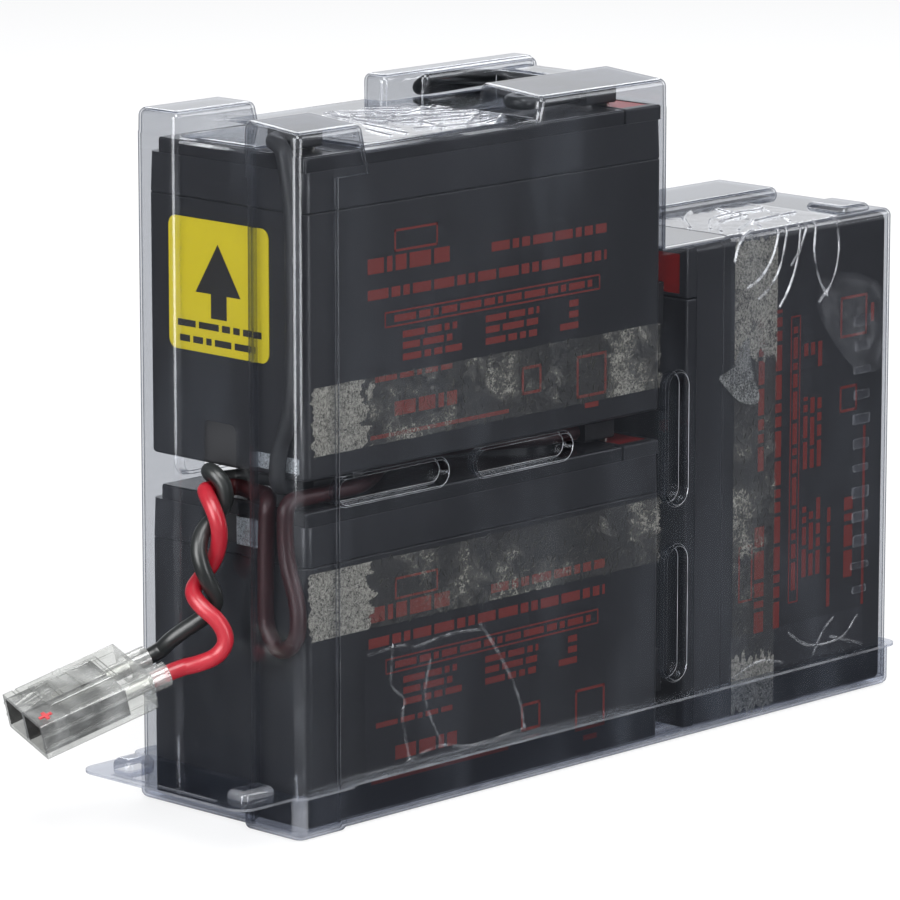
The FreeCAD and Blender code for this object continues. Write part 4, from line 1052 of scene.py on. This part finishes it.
class CARTRIDGE_OT_clear_tapes(bpy.types.Operator):
    """Make the creased clear tapes, the haze and the bubble under them, and the raised marks"""
    bl_idname = "cartridge.clear_tapes"
    bl_label = "Clear tapes"

    def execute(self, context):
        film = clear_film("clear_tape", (0.98, 0.98, 0.985, 1.0), (0.70, 0.70, 0.72, 1.0), haze=0.02,
                          shine=0.10, glint=0.75)
        for name, *shape in CLEAR_TAPES:
            stand_for(name, creased_tape(name + "_piece", *shape), name + "_piece", film)
        show(smoke_patch("smoky_patch"), "smoky_patch", film)
        bubble = [at(x, -0.5, z) for x, z in smooth_run(BUBBLE + BUBBLE[:1])[:-1]]
        grey = fibrous_tape("bubble_grey", (0.40, 0.40, 0.375, 1.0), thin=0.30, loose=0.42)
        show(flat_shape("pale_bubble", bubble), "pale_bubble", grey)
        lowest, highest = at(243.7, -1.75, 33.2), at(243.7, -1.75, 119.8)
        low, high = Vector((-0.0042, -0.0003, -0.0020)), Vector((0.0042, 0.0004, 0.0020))
        bar = bar_mesh("raised_bar", low, high, rounding=0.0003)
        count = context.scene.cartridge_film.marks
        pitch = (highest.z - lowest.z) / (count - 1)
        marks = raised_marks(film, count, pitch, seed=5).grow(bar, "raised_marks")
        marks.transform(Matrix.Translation(lowest))
        # The bars' sides carry painted light: the film's painted highlight and shade.
        mark(marks, "bend", "FACE", [0.0 if abs(face.normal.y) > 0.9 else 0.20 for face in marks.polygons])
        show(marks, "raised_marks")
        return {"FINISHED"}


# Leads and connector

RED_ROUTE = [
    (-1.2, 33.6, 97.9), (-6.2, 34.7, 98.0), (-8.4, 33.0, 98.1), (-10.0, 27.7, 93.8), (-9.3, 26.1, 88.7),
    (-7.4, 28.2, 82.9), (-6.9, 31.3, 77.1), (-9.5, 33.9, 72.6), (-14.0, 33.4, 69.2), (-14.6, 28.4, 65.7),
    (-11.5, 24.2, 61.6), (-9.7, 22.6, 56.0), (-11.6, 24.6, 51.2), (-16.6, 27.8, 49.2),
    (-20.37, 32.36, 47.86), (-28.56, 34.94, 45.15),
]
BLACK_ROUTE = [
    (-1.2, 37.6, 101.2), (-4.6, 35.9, 103.4), (-6.1, 31.7, 103.5), (-4.9, 28.5, 100.3), (-4.3, 28.5, 94.7),
    (-5.8, 31.2, 90.4), (-10.1, 32.3, 87.1), (-12.9, 31.4, 82.5), (-13.4, 29.7, 77.8), (-11.4, 28.7, 72.5),
    (-8.4, 28.6, 67.5), (-8.7, 29.8, 63.5), (-12.0, 33.0, 60.1), (-15.1, 36.5, 57.0), (-17.4, 39.4, 54.0),
    (-17.66, 43.4, 50.2), (-25.85, 45.98, 47.49),
]
# The connector's own frame in pack coordinates, and its two sockets in that frame.
PLUG_FRAME = (Matrix.Translation((-28.2, 51.8, 53.5)) @ Matrix.Rotation(math.radians(162.5), 4, "Z")
              @ Matrix.Rotation(math.radians(17.5), 4, "Y") @ Matrix.Rotation(math.radians(-12.2), 4, "X"))
SOCKETS = (((8.4, 36.3), (1.3, 11.35), (-10.2, -1.3)), ((8.4, 36.3), (12.65, 22.7), (-10.2, -1.3)))
SOCKET_SLACK = 0.06
SOCKET_ROOF, SOCKET_FLOOR = -1.4, -10.1


def lead_curve(name, route, diameter, material):
    """A round lead on a smooth curve through the route's control points."""
    curve = bpy.data.curves.new(name, "CURVE")
    curve.dimensions = "3D"
    curve.bevel_depth = diameter / 2
    curve.bevel_resolution = 6
    curve.resolution_u = 12
    curve.use_fill_caps = True
    line = curve.splines.new("NURBS")
    line.points.add(len(route) - 1)
    for point, place in zip(line.points, route):
        point.co = (*at(*place), 1.0)
    line.order_u = 3
    line.use_endpoint_u = True
    curve.materials.append(material)
    item = new_object(name, curve)
    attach(item, "root")
    return item


class CARTRIDGE_OT_leads(bpy.types.Operator):
    """Make the two free leads and finish the wires held in the shell"""
    bl_idname = "cartridge.leads"
    bl_label = "Leads"

    def execute(self, context):
        settings = context.scene.cartridge_leads
        red = wire_skin("red_insulation", tuple(settings.red), 0.26)
        black = wire_skin("black_insulation", tuple(settings.black), 0.30)
        plug = [bpy.data.objects["connector_piece"]]
        plug += [NODES[name] for name in ("red_contact", "black_contact", "positive_mark")]
        for key, route, finish, length in (
                ("red", RED_ROUTE, red, 0.0876), ("black", BLACK_ROUTE, black, 0.0842)):
            lead = lead_curve(key + "_free_lead", route, settings.diameter, finish)
            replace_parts(lead, key + "_lead")
            tuple(at(*route[0]))
        # Painted shade: the held red lead is the free red at 0.12.
        paint(["red_inner_lead"], wire_skin("red_in_shade", shaded(settings.red, 0.12), 0.4))
        paint(["lower_right_jumper", "right_upper_jumper"], black)
        # The held black lead is paler and duller than the free one, near the cases' charcoal.
        paint(["black_inner_lead"], wire_skin("black_in_shade", (0.028, 0.029, 0.031, 1.0), 0.55))
        return {"FINISHED"}


class CARTRIDGE_OT_connector(bpy.types.Operator):
    """Finish the connector at the end of the leads"""
    bl_idname = "cartridge.connector"
    bl_label = "Connector"

    def execute(self, context):
        clear = crystal("connector_clear", (0.92, 0.925, 0.91, 1.0), (0.34, 0.345, 0.33, 1.0))
        made = merged_copy("connector_housing")
        inner, bend = made.faces.layers.float.new("inner"), made.faces.layers.float.new("bend")
        to_plug = PLUG_FRAME.inverted()
        for face in made.faces:
            spot = to_plug @ (face.calc_center_median() * 1000.0 + ORIGIN)
            within = any(all(low - SOCKET_SLACK < value < high + SOCKET_SLACK
                             for value, (low, high) in zip(spot, ranges)) for ranges in SOCKETS)
            # Painted shade on the socket walls: full between roof and floor, half below the floor, none above
            # the roof.
            dark = 0.0 if spot.z > SOCKET_ROOF else 0.5 if spot.z < SOCKET_FLOOR else 1.0
            face[inner] = dark if within else 0.0
        # The rounded edges carry a painted highlight and no painted shade.
        for face in round_edges(made, sharp_edges(made, angle=0.9), width=0.00024, segments=1):
            face[inner], face[bend] = 0.0, 1.0
        stand_for("connector_housing", edited_mesh("connector_piece", made), "connector_piece", clear)
        paint(["red_contact", "black_contact"], plated("contact_plate", (0.78, 0.78, 0.76, 1.0)))
        paint(["positive_mark"], moulded("mark_red", (0.55, 0.02, 0.03, 1.0)))
        return {"FINISHED"}


STEPS = (
    CARTRIDGE_OT_stage, CARTRIDGE_OT_connector, CARTRIDGE_OT_leads, CARTRIDGE_OT_film,
    CARTRIDGE_OT_batteries, CARTRIDGE_OT_tapes, CARTRIDGE_OT_clear_tapes,
)
SETTINGS = (
    ("cartridge_film", FilmSettings), ("cartridge_battery", BatterySettings),
    ("cartridge_leads", LeadSettings), ("cartridge_stage", StageSettings),
)


class CARTRIDGE_PT_panel(bpy.types.Panel):
    """The steps that dress the cartridge"""
    bl_label = "Battery cartridge"
    bl_idname = "CARTRIDGE_PT_panel"
    bl_space_type = "VIEW_3D"
    bl_region_type = "UI"
    bl_category = "Cartridge"

    def draw(self, context):
        for name, kind in SETTINGS:
            for key in kind.__annotations__:
                self.layout.prop(getattr(context.scene, name), key)
        for step in STEPS:
            self.layout.operator(step.bl_idname)


def register():
    for name, group in SETTINGS:
        bpy.utils.register_class(group)
        setattr(bpy.types.Scene, name, bpy.props.PointerProperty(type=group))
    for step in STEPS:
        bpy.utils.register_class(step)
    bpy.utils.register_class(CARTRIDGE_PT_panel)


def unregister():
    bpy.utils.unregister_class(CARTRIDGE_PT_panel)
    for step in reversed(STEPS):
        bpy.utils.unregister_class(step)
    for name, group in reversed(SETTINGS):
        delattr(bpy.types.Scene, name)
        bpy.utils.unregister_class(group)


def main():
    register()
    for step in STEPS:
        family, action = step.bl_idname.split(".")
        getattr(getattr(bpy.ops, family), action)()


if __name__ == "__main__":
    main()
